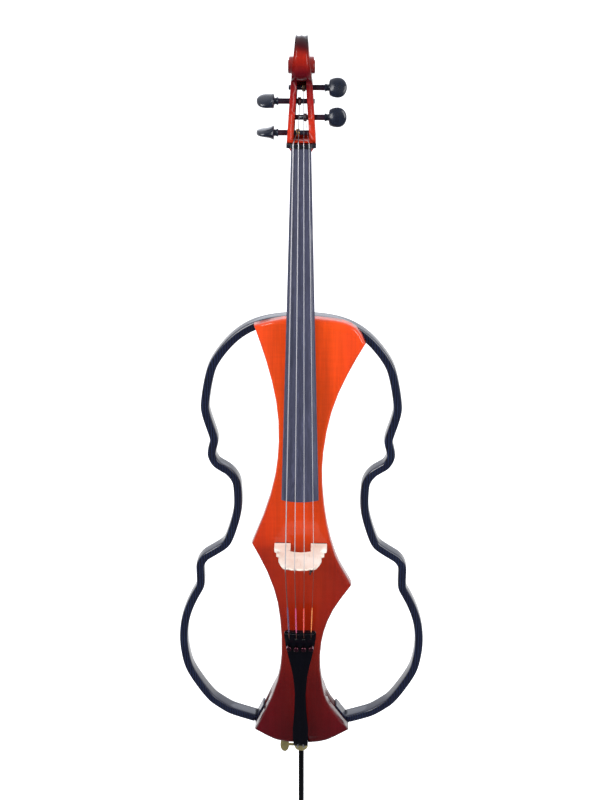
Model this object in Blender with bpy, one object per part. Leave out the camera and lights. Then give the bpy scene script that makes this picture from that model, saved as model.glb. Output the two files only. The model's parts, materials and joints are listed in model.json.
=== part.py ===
"""Electric cello with a carved wooden core and a carbon frame in a cello's outline.

The instrument stands upright on its drawn-out endpin. Its front, with the strings, faces -Y.
The origin is the flat underside of the endpin's rubber tip, on the endpin's axis.

Every shape is worked out in the instrument's own frame, in which z = 0 is the level of the body's
lower edge and y = 0 is the front face of the carbon frame. The empty "instrument" then carries
everything to its height above the floor.
"""

import math

import bmesh
import bpy
from mathutils import Vector

MM = 0.001
GAP = 0.3 * MM  # between pieces that are glued, screwed or pressed together

# Body
BODY_LENGTH = 807.5 * MM
LOWER_BOUT = 437.0 * MM  # widest place of the frame, edge to edge
CORE_WIDTH = 194.2 * MM  # core's widest place, across its upper corners
CORE_FRONT_THICKNESS = 20.3 * MM
CORE_BACK_DEPTH = 27.0 * MM
CORE_BACK_INSET = 9.0 * MM  # how far the back stands in from the front's outline
FRAME_WIDTH = 15.4 * MM
FRAME_DEPTH = 27.0 * MM
FRAME_CORNER = 4.0 * MM
FLANGE_THICKNESS = 3.5 * MM

# Neck, pegbox and strings
NECK_STOP = 274.5 * MM  # body's top edge to the nut's lower edge
NUT_WIDTH = 46.4 * MM
NUT_HEIGHT = 7.4 * MM
FINGERBOARD_LENGTH = 570.5 * MM
FINGERBOARD_NUT_WIDTH = 31.4 * MM
FINGERBOARD_END_WIDTH = 61.6 * MM
FINGERBOARD_CAMBER = 62.0 * MM
FINGERBOARD_EDGE = 6.5 * MM
FINGERBOARD_NUT_Y = -8.6 * MM  # crest of the playing surface at the nut
FINGERBOARD_END_Y = -85.0 * MM
NECK_THICKNESS = 18.5 * MM  # without the fingerboard, at the nut
TONGUE_LENGTH = 108.0 * MM  # neck foot that lies on the core's face

# Bridge
BODY_STOP = 409.0 * MM  # body's top edge to the bridge
BRIDGE_HEIGHT = 88.6 * MM
BRIDGE_FOOT_SPAN = 90.0 * MM
BRIDGE_FOOT_THICKNESS = 7.5 * MM
BRIDGE_TOP_THICKNESS = 3.0 * MM
BRIDGE_CAMBER = 72.0 * MM
STRING_SPACING_NUT = 8.3 * MM
STRING_SPACING_BRIDGE = 15.8 * MM
STRING_CLEARANCE = 0.25 * MM

# Pegs
PEG_SHAFT_DIAMETER = 9.4 * MM
PEG_HOLE_CLEARANCE = 0.35 * MM
PEG_HEAD_WIDTH = 32.6 * MM
PEG_HEAD_LENGTH = 28.0 * MM
COIL_WALL = 1.5 * MM

# Tailpiece and fine tuners
TAILPIECE_LENGTH = 249.0 * MM
TAILPIECE_TOP_WIDTH = 57.0 * MM
TAILPIECE_THICKNESS = 9.0 * MM
TAILPIECE_BOTTOM_Z = 6.0 * MM
TAILPIECE_TOP_Y = -71.5 * MM
TAILPIECE_BOTTOM_Y = -44.0 * MM
TUNER_SPACING = 12.7 * MM
TUNER_SCREW_DIAMETER = 3.0 * MM
TUNER_PIN_DIAMETER = 2.4 * MM
TAILGUT_DIAMETER = 2.6 * MM

# Endpin
PIN_Y = 12.0 * MM  # endpin's axis behind the frame's front face
PIN_DIAMETER = 10.0 * MM
PIN_OUT = 291.0 * MM  # rubber tip's underside to the collar, as the instrument stands
PIN_LENGTH = 480.0 * MM
COLLAR_DIAMETER = 25.0 * MM
COLLAR_TOP_Z = -23.5 * MM
COLLAR_HEIGHT = 16.5 * MM
TIP_DIAMETER = 20.0 * MM
TIP_HEIGHT = 30.0 * MM

# Electronics in the back
POCKET_WIDTH = 38.0 * MM
POCKET_DEPTH = 22.0 * MM
COVER_WIDTH = 52.0 * MM
COVER_LENGTH = 182.0 * MM
COVER_THICKNESS = 2.5 * MM
COVER_MIDDLE_Z = 561.0 * MM
DOOR_WIDTH = 31.0 * MM
DOOR_LENGTH = 49.0 * MM
DOOR_GAP = 0.5 * MM
KNOB_DIAMETER = 16.0 * MM
SOCKET_DIAMETER = 6.6 * MM

COLLAR_BOTTOM_Z = COLLAR_TOP_Z - COLLAR_HEIGHT
TIP_Z = COLLAR_BOTTOM_Z - PIN_OUT
NUT_Z = BODY_LENGTH + NECK_STOP
BRIDGE_Z = BODY_LENGTH - BODY_STOP
CORE_FACE_Y = -CORE_FRONT_THICKNESS - GAP
CORE_BACK_Y = CORE_BACK_DEPTH
TAILPIECE_TOP_Z = TAILPIECE_BOTTOM_Z + TAILPIECE_LENGTH

# Saddle, neck foot, flanges and pickups
FLANGE_LOW_Z = 23 * MM
FLANGE_HIGH_Z = 57 * MM
FLANGE_INSET = 1 * MM
SADDLE_WIDTH = 26 * MM
SADDLE_TOP_Z = 5.7 * MM
SADDLE_BACK_Y = -12.3 * MM
TONGUE_HALF_WIDTH = 20 * MM
PICKUP_MIDDLE_X = 31.2 * MM
PICKUP_WIDTH = 24 * MM
PICKUP_HEIGHT = 9 * MM
PICKUP_DEPTH = 1.8 * MM

# Pickup lead, from the bridge to the core
LEAD_DIAMETER = 3.2 * MM
LEAD_TOP_X = 21 * MM
LEAD_HEIGHT = 74 * MM  # lead's socket in the bridge, above the core's face
LEAD_X = 17 * MM
LEAD_Z = BRIDGE_Z - 32 * MM

# Places along the tailpiece, its levers and cord
TAILPIECE_CAMBER = 100.0 * MM
FRET_Z = TAILPIECE_TOP_Z - 4.5 * MM
HOOK_Z = TAILPIECE_TOP_Z - 12.5 * MM
LEVER_Z = TAILPIECE_TOP_Z - 19.5 * MM
SCREW_Z = TAILPIECE_TOP_Z - 29.0 * MM
LEVER_ARM = 4 * MM
LEVER_WIDTH = 5 * MM
LEVER_PLAY = 0.5 * MM
FRET_RADIUS = 1.5 * MM
STRING_HOLE = 3.2 * MM
BALL_DIAMETER = 4.6 * MM
TUNER_HEAD_RISE = 4.5 * MM
GUT_HALF_SPACING = 4.5 * MM
GUT_TOP_Y = TAILPIECE_BOTTOM_Y + 5 * MM
GUT_HOLE_DEPTH = 14 * MM
GUT_LOOP_Z = -12.0 * MM

# Endpin plug and bore
PLUG_DIAMETER = 19 * MM
PLUG_TOP_Z = 30 * MM
PLUG_NECK_DIAMETER = 20 * MM
PIN_BORE_TOP_Z = 445 * MM

# Pocket, cover, controls and sockets
POCKET_LOW_Z = 475 * MM
POCKET_HIGH_Z = 641 * MM
COVER_SCREW_SHAFT = 2.8 * MM
COVER_SCREWS = [
    (x, COVER_MIDDLE_Z + side * (COVER_LENGTH / 2 - 4.5 * MM))
    for side in (-1, 1)
    for x in (-COVER_WIDTH / 2 + 3.8 * MM, COVER_WIDTH / 2 - 3.8 * MM)
]
DOOR_LOW_Z = POCKET_HIGH_Z - DOOR_LENGTH - 2 * MM
KNOB_SHAFT_DIAMETER = 6 * MM
KNOBS = {"volume": 508 * MM, "bass": 533 * MM, "treble": 558 * MM}
SOCKET_Z = 484.5 * MM
SOCKET_BARREL = 10.4 * MM
SOCKETS = [("output_jack", -12 * MM, SOCKET_DIAMETER), ("headphone_jack", 12 * MM, 3.7 * MM)]

# Outlines are drawn in millimetres for a body of these sizes, then scaled to the sizes above.
DRAWN_LENGTH = 807.5
DRAWN_BOUT = 437.0
DRAWN_CORE = 194.2
FRAME_EASING_Z = 125.0  # above this the frame follows the lower bout's width alone

# Middle line of the frame's right half, from the top centre round to the core's lower corner.
FRAME_LINE = [
    (0, 800), (40, 797.5), (76, 788.5), (108, 768.5), (135, 738), (151, 707), (161.5, 650),
    (158, 622), (151.5, 602), (147.2, 583), (151.3, 566), (151.5, 553), (143, 538), (123.3, 525),
    (111.5, 508), (108.4, 487), (108.3, 462), (111.8, 440), (127.3, 392.5), (147, 374),
    (167.5, 360.5), (176.7, 345), (176.8, 325), (178, 303), (189, 282), (199, 260), (208, 230),
    (211, 190), (206, 150.5), (197.7, 125), (168, 76.5), (148.2, 58.5), (124.4, 42.8), (86.4, 30.6),
]

# The core's outline, clockwise from its upper left corner. Each run ends at a corner.
CORE_RUNS = [
    [(-76.5, 795.5), (-30, 806.2), (20, 807), (60, 803.2), (84, 794.8), (97, 781.5), (105.7, 765)],
    [(105.7, 765), (80.4, 717.8), (56.4, 661), (42, 600), (36, 530), (43, 447.4), (60, 376),
     (88.5, 318.8)],
    [(88.5, 318.8), (57, 268), (39.8, 219), (34.3, 168), (38, 120), (50, 75), (87, 21)],
    [(87, 21), (45, -3.5), (0, -9), (-45, -3.5), (-84, 19)],
    [(-84, 19), (-56, 80), (-38.5, 140), (-34.5, 205), (-41.2, 282), (-59, 343), (-85, 398.5)],
    [(-85, 398.5), (-60, 464), (-43.4, 529), (-37.4, 600), (-41.5, 662), (-55, 725),
     (-76.5, 795.5)],
]

# The four strings from the player's thickest to thinnest: diameter, peg's side, height and depth
# of the peg's axis above the nut's lower edge, turn of the peg's head, middle of its winding.
STRINGS = {
    "c": {"diameter": 1.65, "side": -1, "peg_z": 21.0, "peg_y": 13.0, "turn": 86.0, "coil_x": -5.5},
    "g": {"diameter": 1.25, "side": -1, "peg_z": 67.8, "peg_y": 25.5, "turn": 62.0, "coil_x": -3.4},
    "d": {"diameter": 0.95, "side": 1, "peg_z": 88.0, "peg_y": 31.0, "turn": 22.0, "coil_x": 3.2},
    "a": {"diameter": 0.75, "side": 1, "peg_z": 44.0, "peg_y": 19.0, "turn": -4.0, "coil_x": 5.5},
}


# ---------------------------------------------------------------- scene helpers

def clear_scene():
    for item in list(bpy.data.objects):
        bpy.data.objects.remove(item)


def material(name, colour, roughness, metallic=0.0):
    made = bpy.data.materials.new(name)
    made.use_nodes = True
    shader = made.node_tree.nodes["Principled BSDF"]
    shader.inputs["Base Color"].default_value = (*colour, 1.0)
    shader.inputs["Roughness"].default_value = roughness
    shader.inputs["Metallic"].default_value = metallic
    return made


def empty(name, place, parent=None):
    made = bpy.data.objects.new(name, None)
    bpy.context.scene.collection.objects.link(made)
    made.parent = parent
    made.location = place
    return made


def piece(name, points, faces, finish, origin=(0, 0, 0), smooth=True):
    """A closed mesh object whose origin is at origin and whose points are in the instrument's frame."""
    start = Vector(origin)
    mesh = bpy.data.meshes.new(name)
    mesh.from_pydata([Vector(p) - start for p in points], [], faces)
    work = bmesh.new()
    work.from_mesh(mesh)
    bmesh.ops.remove_doubles(work, verts=work.verts, dist=1e-6)
    bmesh.ops.recalc_face_normals(work, faces=work.faces)
    work.to_mesh(mesh)
    work.free()
    if smooth:
        mesh.shade_smooth()
        mesh.set_sharp_from_angle(angle=math.radians(32))
    mesh.materials.append(finish)
    made = bpy.data.objects.new(name, mesh)
    bpy.context.scene.collection.objects.link(made)
    made.parent = INSTRUMENT
    made.location = start
    return made


def helper(made):
    """Marks a cutter or an added shape that isn't a piece by itself."""
    made.hide_render = True
    made.display_type = "WIRE"
    return made


def combine(target, other, operation):
    modifier = target.modifiers.new(f"{operation.lower()} {other.name}", "BOOLEAN")
    modifier.operation = operation
    modifier.solver = "EXACT"
    modifier.object = helper(other)


def cut(target, *others):
    for other in others:
        combine(target, other, "DIFFERENCE")


def join(target, *others):
    for other in others:
        combine(target, other, "UNION")


# ---------------------------------------------------------------- shape helpers

def curve_points(points, steps):
    """Points of a smooth curve through the given ones, steps to each stretch."""
    ends = [tuple(2 * a - b for a, b in zip(points[0], points[1]))]
    ends += list(points)
    ends.append(tuple(2 * a - b for a, b in zip(points[-1], points[-2])))
    found = []
    for a, b, c, d in zip(ends, ends[1:], ends[2:], ends[3:]):
        for step in range(steps):
            t = step / steps
            found.append(tuple(
                0.5 * (2 * q + (r - p) * t + (2 * p - 5 * q + 4 * r - s) * t * t
                       + (3 * q - p - 3 * r + s) * t ** 3)
                for p, q, r, s in zip(a, b, c, d)
            ))
    found.append(tuple(points[-1]))
    return found


def thinned(points, most_turn, most_step):
    """The curve's points with those left out between which it hardly turns or moves."""
    kept = [points[0]]
    turned_by = 0.0
    for before, here, after in zip(points, points[1:], points[2:]):
        first = Vector(here) - Vector(before)
        second = Vector(after) - Vector(here)
        turned_by += first.angle(second, 0.0)
        moved = (Vector(here) - Vector(kept[-1])).length
        if turned_by > most_turn or moved > most_step:
            kept.append(here)
            turned_by = 0.0
    kept.append(points[-1])
    return kept


def ring_faces(count, sides, closed=False):
    """Quads between count rings of sides points each, with both ends capped unless closed."""
    faces = []
    for ring in range(count if closed else count - 1):
        for side in range(sides):
            a = ring * sides + side
            b = ring * sides + (side + 1) % sides
            c = (ring + 1) % count * sides + (side + 1) % sides
            d = (ring + 1) % count * sides + side
            faces.append((a, b, c, d))
    if not closed:
        faces.append(tuple(range(sides)))
        faces.append(tuple(range((count - 1) * sides, count * sides)))
    return faces


def loft(name, rings, finish, origin=(0, 0, 0), smooth=True, closed=False):
    points = [p for ring in rings for p in ring]
    faces = ring_faces(len(rings), len(rings[0]), closed)
    return piece(name, points, faces, finish, origin, smooth)


def plate(name, outline, low, high, finish, across="y", smooth=False):
    """An outline in the plane square to an axis, drawn out along that axis from low to high."""
    places = {
        "x": lambda p, t: (t, p[0], p[1]),
        "y": lambda p, t: (p[0], t, p[1]),
        "z": lambda p, t: (p[0], p[1], t),
    }
    rings = [[places[across](p, t) for p in outline] for t in (low, high)]
    return loft(name, rings, finish, smooth=smooth)


def block(name, low, high, finish):
    outline = [(low[0], low[2]), (high[0], low[2]), (high[0], high[2]), (low[0], high[2])]
    return plate(name, outline, low[1], high[1], finish)


def turned(name, profile, finish, centre, axis, sides=20, origin=None):
    """A turned shape: profile holds (distance along the axis, radius) and may close on itself."""
    along = Vector(axis).normalized()
    across = along.orthogonal().normalized()
    other = along.cross(across)
    middle = Vector(centre)
    rings = []
    for distance, radius in profile:
        ring = []
        for side in range(sides):
            angle = 2 * math.pi * side / sides
            way = across * math.cos(angle) + other * math.sin(angle)
            ring.append(middle + along * distance + way * radius)
        rings.append(ring)
    closed = profile[0] == profile[-1]
    if closed:
        rings = rings[:-1]
    start = centre if origin is None else origin
    return loft(name, rings, finish, start, closed=closed)


def rod(name, centre, axis, low, high, radius, finish, sides=16):
    return turned(name, [(low, radius), (high, radius)], finish, centre, axis, sides)


def between(value, low, high, first, last):
    """first where value is low, last where it is high, in a straight line between, and held beyond."""
    share = min(1.0, max(0.0, (value - low) / (high - low)))
    return first + (last - first) * share


# ---------------------------------------------------------------- lines that pieces share

def drawn_z(z):
    """A drawn height scaled to the body. What hangs below the body's lower edge keeps its size."""
    return z / DRAWN_LENGTH * BODY_LENGTH if z > 0 else z * MM


def frame_line():
    """Middle line of the frame's right half: as wide as the bouts, and as the core where it ends."""
    bout = LOWER_BOUT / DRAWN_BOUT
    core = CORE_WIDTH / DRAWN_CORE
    end_z = FRAME_LINE[-1][1]
    scaled = [
        (x * between(z, end_z, FRAME_EASING_Z, core, bout), drawn_z(z)) for x, z in FRAME_LINE
    ]
    top = BODY_LENGTH - FRAME_WIDTH / 2
    lift = top - scaled[0][1]
    return [(x, z + lift) for x, z in scaled]


def core_outline(steps=7):
    """The core's outline as one closed row of (x, z), thinned on its straighter stretches."""
    found = []
    for run in CORE_RUNS:
        scaled = [(x / DRAWN_CORE * CORE_WIDTH, drawn_z(z)) for x, z in run]
        found += thinned(curve_points(scaled, steps), math.radians(5), 30 * MM)[:-1]
    return found


def outline_normals(outline):
    """At each point of a clockwise outline, the unit vector that points out of it."""
    found = []
    for before, after in zip(outline[-1:] + outline[:-1], outline[1:] + outline[:1]):
        way = Vector(after) - Vector(before)
        way.normalize()
        found.append(Vector((-way.y, way.x)))
    return found


def inset_outline(outline, amounts):
    """The outline moved inwards, by one amount or by one for each point."""
    if not isinstance(amounts, list):
        amounts = [amounts] * len(outline)
    return [
        (x - normal.x * amount, z - normal.y * amount)
        for (x, z), normal, amount in zip(outline, outline_normals(outline), amounts)
    ]


def core_edge(z, side):
    """x of the core's edge at height z, on the right (side 1) or the left (side -1)."""
    outline = core_outline()
    crossings = []
    for (xa, za), (xb, zb) in zip(outline, outline[1:] + outline[:1]):
        if (za - z) * (zb - z) <= 0 and za != zb:
            crossings.append(xa + (xb - xa) * (z - za) / (zb - za))
    return max(crossings) if side > 0 else min(crossings)


def fingerboard_share(z):
    """0 at the nut, 1 at the fingerboard's free end."""
    return (NUT_Z - GAP - z) / FINGERBOARD_LENGTH


def fingerboard_half_width(z):
    share = fingerboard_share(z)
    return (FINGERBOARD_NUT_WIDTH + (FINGERBOARD_END_WIDTH - FINGERBOARD_NUT_WIDTH) * share) / 2


def fingerboard_crest(z):
    return FINGERBOARD_NUT_Y + (FINGERBOARD_END_Y - FINGERBOARD_NUT_Y) * fingerboard_share(z)


def camber_drop(x, radius):
    return radius - math.sqrt(radius * radius - x * x)


def fingerboard_underside(z):
    half = fingerboard_half_width(z)
    return fingerboard_crest(z) + camber_drop(half, FINGERBOARD_CAMBER) + FINGERBOARD_EDGE


def string_x(index, spacing):
    """Sideways place of string 0 to 3 where neighbours are spacing apart."""
    return (index - 1.5) * spacing


def bridge_crest(x):
    return CORE_FACE_Y - GAP - BRIDGE_HEIGHT + camber_drop(x, BRIDGE_CAMBER)


def nut_crest(x):
    return FINGERBOARD_NUT_Y - 1.6 * MM + camber_drop(x, FINGERBOARD_CAMBER)


def tailpiece_half_width(z):
    """Half-width of the tailpiece: wide at the strings, waisted, then a little flared."""
    share = (z - TAILPIECE_BOTTOM_Z) / TAILPIECE_LENGTH
    drawn = [(0, 0.42), (0.04, 0.48), (0.14, 0.49), (0.30, 0.38), (0.46, 0.34), (0.60, 0.41),
             (0.72, 0.59), (0.80, 0.75), (0.88, 0.88), (0.95, 0.965), (1, 1.0)]
    for (low, first), (high, last) in zip(drawn, drawn[1:]):
        if share <= high:
            return TAILPIECE_TOP_WIDTH / 2 * between(share, low, high, first, last)
    return TAILPIECE_TOP_WIDTH / 2


def tailpiece_crest(z):
    return between(
        z, TAILPIECE_BOTTOM_Z, TAILPIECE_TOP_Z, TAILPIECE_BOTTOM_Y, TAILPIECE_TOP_Y
    )


LEVER_Y = tailpiece_crest(LEVER_Z) + TAILPIECE_THICKNESS + 4.2 * MM




def tailpiece_front(x, z):
    return tailpiece_crest(z) + camber_drop(x, TAILPIECE_CAMBER)


# ---------------------------------------------------------------- body

def offset_line(line, distance):
    """An open row of (x, z) moved to its left by distance."""
    found = []
    for index, point in enumerate(line):
        before = Vector(line[max(0, index - 1)])
        after = Vector(line[min(len(line) - 1, index + 1)])
        way = (after - before).normalized()
        found.append((point[0] - way.y * distance, point[1] + way.x * distance))
    return found


def flange_lines(side):
    """Both faces of the plate on the core's lower side, each from its low end to its high one."""
    low = Vector((abs(core_edge(FLANGE_LOW_Z, side)), FLANGE_LOW_Z))
    high = Vector((abs(core_edge(FLANGE_HIGH_Z, side)), FLANGE_HIGH_Z))
    way = (high - low).normalized()
    out = Vector((way.y, -way.x))
    bulge = 0.0
    for x, z in core_outline():
        if x * side > 0 and FLANGE_LOW_Z < z < FLANGE_HIGH_Z:
            bulge = max(bulge, (Vector((abs(x), z)) - low).dot(out))
    inner = [p + out * (GAP + bulge) for p in (low, high)]
    outer = [p + out * FLANGE_THICKNESS for p in inner]
    return inner, outer, out


def make_flange(side, finish):
    inner, outer, _ = flange_lines(side)
    outline = [(p.x * side, p.y) for p in inner + outer[::-1]]
    name = "frame_flange_right" if side > 0 else "frame_flange_left"
    return plate(name, outline, FLANGE_INSET, FRAME_DEPTH - FLANGE_INSET, finish)


def frame_section():
    """Rounded oblong section of the frame, as (outwards, y)."""
    half = FRAME_WIDTH / 2 - FRAME_CORNER
    corners = (
        (half, FRAME_CORNER, -90), (half, FRAME_DEPTH - FRAME_CORNER, 0),
        (-half, FRAME_DEPTH - FRAME_CORNER, 90), (-half, FRAME_CORNER, 180),
    )
    section = []
    for out, y, start in corners:
        for turn in (0, 45, 90):
            angle = math.radians(start + turn)
            section.append((
                out + FRAME_CORNER * math.cos(angle), y + FRAME_CORNER * math.sin(angle),
            ))
    return section


def make_frame_half(side, finish):
    """One half of the carbon hoop, from behind the core's top round to its lower corner."""
    line = thinned(curve_points(frame_line(), 8), math.radians(8), 24 * MM)
    line[0] = (GAP / 2, line[0][1])
    _, outer, out = flange_lines(side)
    face = outer[0] + out * GAP
    end = Vector(line[-1])
    end += out * (face - end).dot(out)
    line[-1] = tuple(end)
    rings = []
    for index, point in enumerate(line):
        before = Vector(line[max(0, index - 1)])
        after = Vector(line[min(len(line) - 1, index + 1)])
        way = (after - before).normalized()
        if index == 0:
            way = Vector((1, 0))
        across = Vector((-way.y, way.x))
        ring = []
        for outwards, y in frame_section():
            spot = Vector(point) + across * outwards
            if index == len(line) - 1:
                spot -= way * ((spot - end).dot(out) / way.dot(out))
            ring.append((side * spot.x, y, spot.y))
        rings.append(ring)
    return loft("frame_right" if side > 0 else "frame_left", rings, finish)


def make_body_front(finish):
    """The core's front slab: flat face, rounded edge, and a broad round at the upper right corner."""
    outline = core_outline()
    broad = Vector((outline[5][0], outline[5][1]))
    spread = 70 * MM
    wider = [1 + 1.3 * max(0.0, 1 - (Vector(p) - broad).length / spread) for p in outline]
    layers = [
        (-GAP, 0), (-14 * MM, 0), (-17.8 * MM, 1.1 * MM), (-19.6 * MM, 3.1 * MM),
        (CORE_FACE_Y, 6.5 * MM),
    ]
    rings = []
    for y, inset in layers:
        rings.append([
            (x, y, z) for x, z in inset_outline(outline, [inset * w for w in wider])
        ])
    made = loft("body_front", rings, finish)
    notch = block(
        "saddle notch", (-SADDLE_WIDTH / 2 - GAP, CORE_FACE_Y - MM, -30 * MM),
        (SADDLE_WIDTH / 2 + GAP, SADDLE_BACK_Y + GAP, SADDLE_TOP_Z + GAP), finish,
    )
    cut(made, notch)
    for side in (-1, 1):
        middle = side * PICKUP_MIDDLE_X
        cut(made, block(
            f"pickup recess {side}",
            (middle - PICKUP_WIDTH / 2 - GAP, CORE_FACE_Y - MM, BRIDGE_Z - PICKUP_HEIGHT / 2 - GAP),
            (middle + PICKUP_WIDTH / 2 + GAP, CORE_FACE_Y + PICKUP_DEPTH + 2 * GAP,
             BRIDGE_Z + PICKUP_HEIGHT / 2 + GAP),
            finish,
        ))
    cut(made, rod(
        "lead hole", (LEAD_X, CORE_FACE_Y, LEAD_Z), (0, 1, 0), -MM, 8 * MM,
        LEAD_DIAMETER / 2 + 2 * GAP, finish,
    ))
    return made


def make_body_back(finish):
    """The core's back half: narrower than the front, hollowed for the electronics and the endpin."""
    outline = core_outline()
    amounts = [
        min(between(z, 95 * MM, 150 * MM, 0.0, CORE_BACK_INSET),
            between(z, 700 * MM, 760 * MM, CORE_BACK_INSET, 0.0))
        for _, z in outline
    ]
    back = [a + 2.5 * MM for a in amounts]
    rings = []
    for y, steps in ((0, amounts), (CORE_BACK_Y - 4 * MM, amounts), (CORE_BACK_Y, back)):
        rings.append([(x, y, z) for x, z in inset_outline(outline, steps)])
    made = loft("body_back", rings, finish)
    line = [p for p in curve_points(frame_line(), 3) if p[1] > BODY_LENGTH * 0.85]
    under = offset_line(line, -FRAME_WIDTH / 2 - 3 * GAP)
    clear = 60 * MM
    shape = [(-x, z) for x, z in under[:0:-1]] + under
    shape += [(under[-1][0] + clear, under[-1][1]), (under[-1][0] + clear, BODY_LENGTH + clear)]
    shape += [(-under[-1][0] - clear, BODY_LENGTH + clear), (-under[-1][0] - clear, under[-1][1])]
    cut(made, plate("frame room", shape, -MM, CORE_BACK_Y + MM, finish))
    cut(made, rod(
        "plug bore", (0, PIN_Y, 0), (0, 0, 1), -30 * MM, PLUG_TOP_Z + GAP,
        PLUG_DIAMETER / 2 + GAP, finish, 24,
    ))
    cut(made, rod(
        "pin bore", (0, PIN_Y, 0), (0, 0, 1), PLUG_TOP_Z - MM, PIN_BORE_TOP_Z,
        PIN_DIAMETER / 2 + 2 * GAP, finish, 24,
    ))
    cut(made, block(
        "electronics pocket", (-POCKET_WIDTH / 2, CORE_BACK_Y - POCKET_DEPTH, POCKET_LOW_Z),
        (POCKET_WIDTH / 2, CORE_BACK_Y + MM, POCKET_HIGH_Z), finish,
    ))
    for x, z in COVER_SCREWS:
        cut(made, rod(
            f"pilot hole {x:.3f} {z:.3f}", (x, CORE_BACK_Y, z), (0, -1, 0), -MM, 9 * MM,
            COVER_SCREW_SHAFT / 2 + GAP, finish, 12,
        ))
    return made


# ---------------------------------------------------------------- neck and scroll

def graph(value, rows):
    """Value read off a bent line through rows of (where, height)."""
    for (low, first), (high, last) in zip(rows, rows[1:]):
        if value <= high:
            return between(value, low, high, first, last)
    return rows[-1][1]


def neck_thickness(above_body):
    """From the fingerboard's underside to the neck's back, at a height above the body's top."""
    rows = [(0, 57.4), (6, 50), (17.5, 43.5), (28, 36.5), (42, 30), (62, 25), (100, 23),
            (180, 21), (275, 18.5)]
    return graph(above_body / MM, rows) / 18.5 * NECK_THICKNESS


def make_neck(finish):
    """The neck's own length, from the body's top edge to the nut, with a D-shaped section."""
    heights = [GAP, 3, 8, 14, 21, 29, 40, 55, 80, 120, 170, 220, 262, 274]
    rings = []
    for height in heights:
        above = height if height == GAP else height * MM
        z = BODY_LENGTH + above
        half = fingerboard_half_width(z) - 0.5 * MM
        front = fingerboard_underside(z) + GAP
        deep = neck_thickness(above)
        ring = [(-half, front, z), (half, front, z)]
        for step in range(11):
            angle = math.pi * step / 10
            bulge = math.sin(angle) ** 0.8
            ring.append((half * math.cos(angle) * 0.995, front + deep * (0.12 + 0.88 * bulge), z))
        rings.append(ring)
    made = loft("neck_and_scroll", rings, finish, smooth=True)
    return made


def make_tongue(finish):
    """Foot of the neck between the fingerboard and the core's face."""
    rings = []
    for z, shrink in ((BODY_LENGTH + 9 * MM, 0), (BODY_LENGTH - TONGUE_LENGTH + 8 * MM, 0),
                      (BODY_LENGTH - TONGUE_LENGTH, 5 * MM)):
        front = fingerboard_underside(z) + GAP
        half = TONGUE_HALF_WIDTH
        face = CORE_FACE_Y - GAP
        low = z + shrink * 1.5
        rings.append([
            (-half, front, z), (half, front, z), (half, face, low), (-half, face, low),
        ])
    return loft("tongue", rings, finish, smooth=False)


def pegbox_half_width(z):
    return between(z - NUT_Z, 7.7 * MM, 104 * MM, 22.8 * MM, 16.3 * MM)


def make_pegbox(finish):
    """The pegbox as level slices, each (height above the nut's lower edge, front y, back y)."""
    slices = [
        (-9.5, 5.0, 18.5), (-7.5, 5.4, 20.0), (-5, 5.6, 24.0), (0, 6.1, 30.0), (4, 6.1, 32.3),
        (7.7, 6.1, 33.6), (7.75, -3.0, 33.6), (14, -1.2, 35.0), (30, 3.5, 37.8), (44, 6.5, 40.2),
        (56, 9.2, 42.5), (68, 11.4, 45.0), (79, 13.2, 47.1), (90, 14.8, 49.2), (98, 15.6, 50.4),
        (105.5, 17.5, 50.0),
    ]
    rings = []
    for height, front, back in slices:
        z = NUT_Z + height * MM
        if height < 0:
            half = between(height, -9.5, 0, FINGERBOARD_NUT_WIDTH / 2 - 1 * MM, 21 * MM)
        elif height < 7.7:
            half = between(height, 0, 7.7, 21 * MM, pegbox_half_width(NUT_Z))
        else:
            half = pegbox_half_width(z)
        if height > 98:
            half -= 1.5 * MM
        round_off = 4.5 * MM
        f, b = front * MM, back * MM
        rings.append([
            (-half, f + 0.8 * MM, z), (-half + MM, f, z), (half - MM, f, z), (half, f + 0.8 * MM, z),
            (half, b - round_off, z), (half - 1.5 * MM, b - 1.5 * MM, z),
            (half - round_off, b, z), (-half + round_off, b, z),
            (-half + 1.5 * MM, b - 1.5 * MM, z), (-half, b - round_off, z),
        ])
    return loft("pegbox", rings, finish)


def pegbox_gap(z):
    """Half the inner width of the pegbox."""
    return graph((z - NUT_Z) / MM, [(10, 12.6), (33, 11.5), (78, 8.2), (100, 7.3)]) * MM


def make_pegbox_hollow(name, low, high, front, backs, shrink, finish):
    """A tapered slot down the pegbox, its bottom at the first y of backs low down and the second above."""
    rings = []
    for step in range(6):
        z = NUT_Z + low + (high - low) * step / 5
        half = pegbox_gap(z) - shrink
        back = between(step, 0, 5, *backs)
        rings.append([(-half, front, z), (half, front, z), (half, back, z), (-half, back, z)])
    return loft(name, rings, finish, smooth=False)


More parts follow.
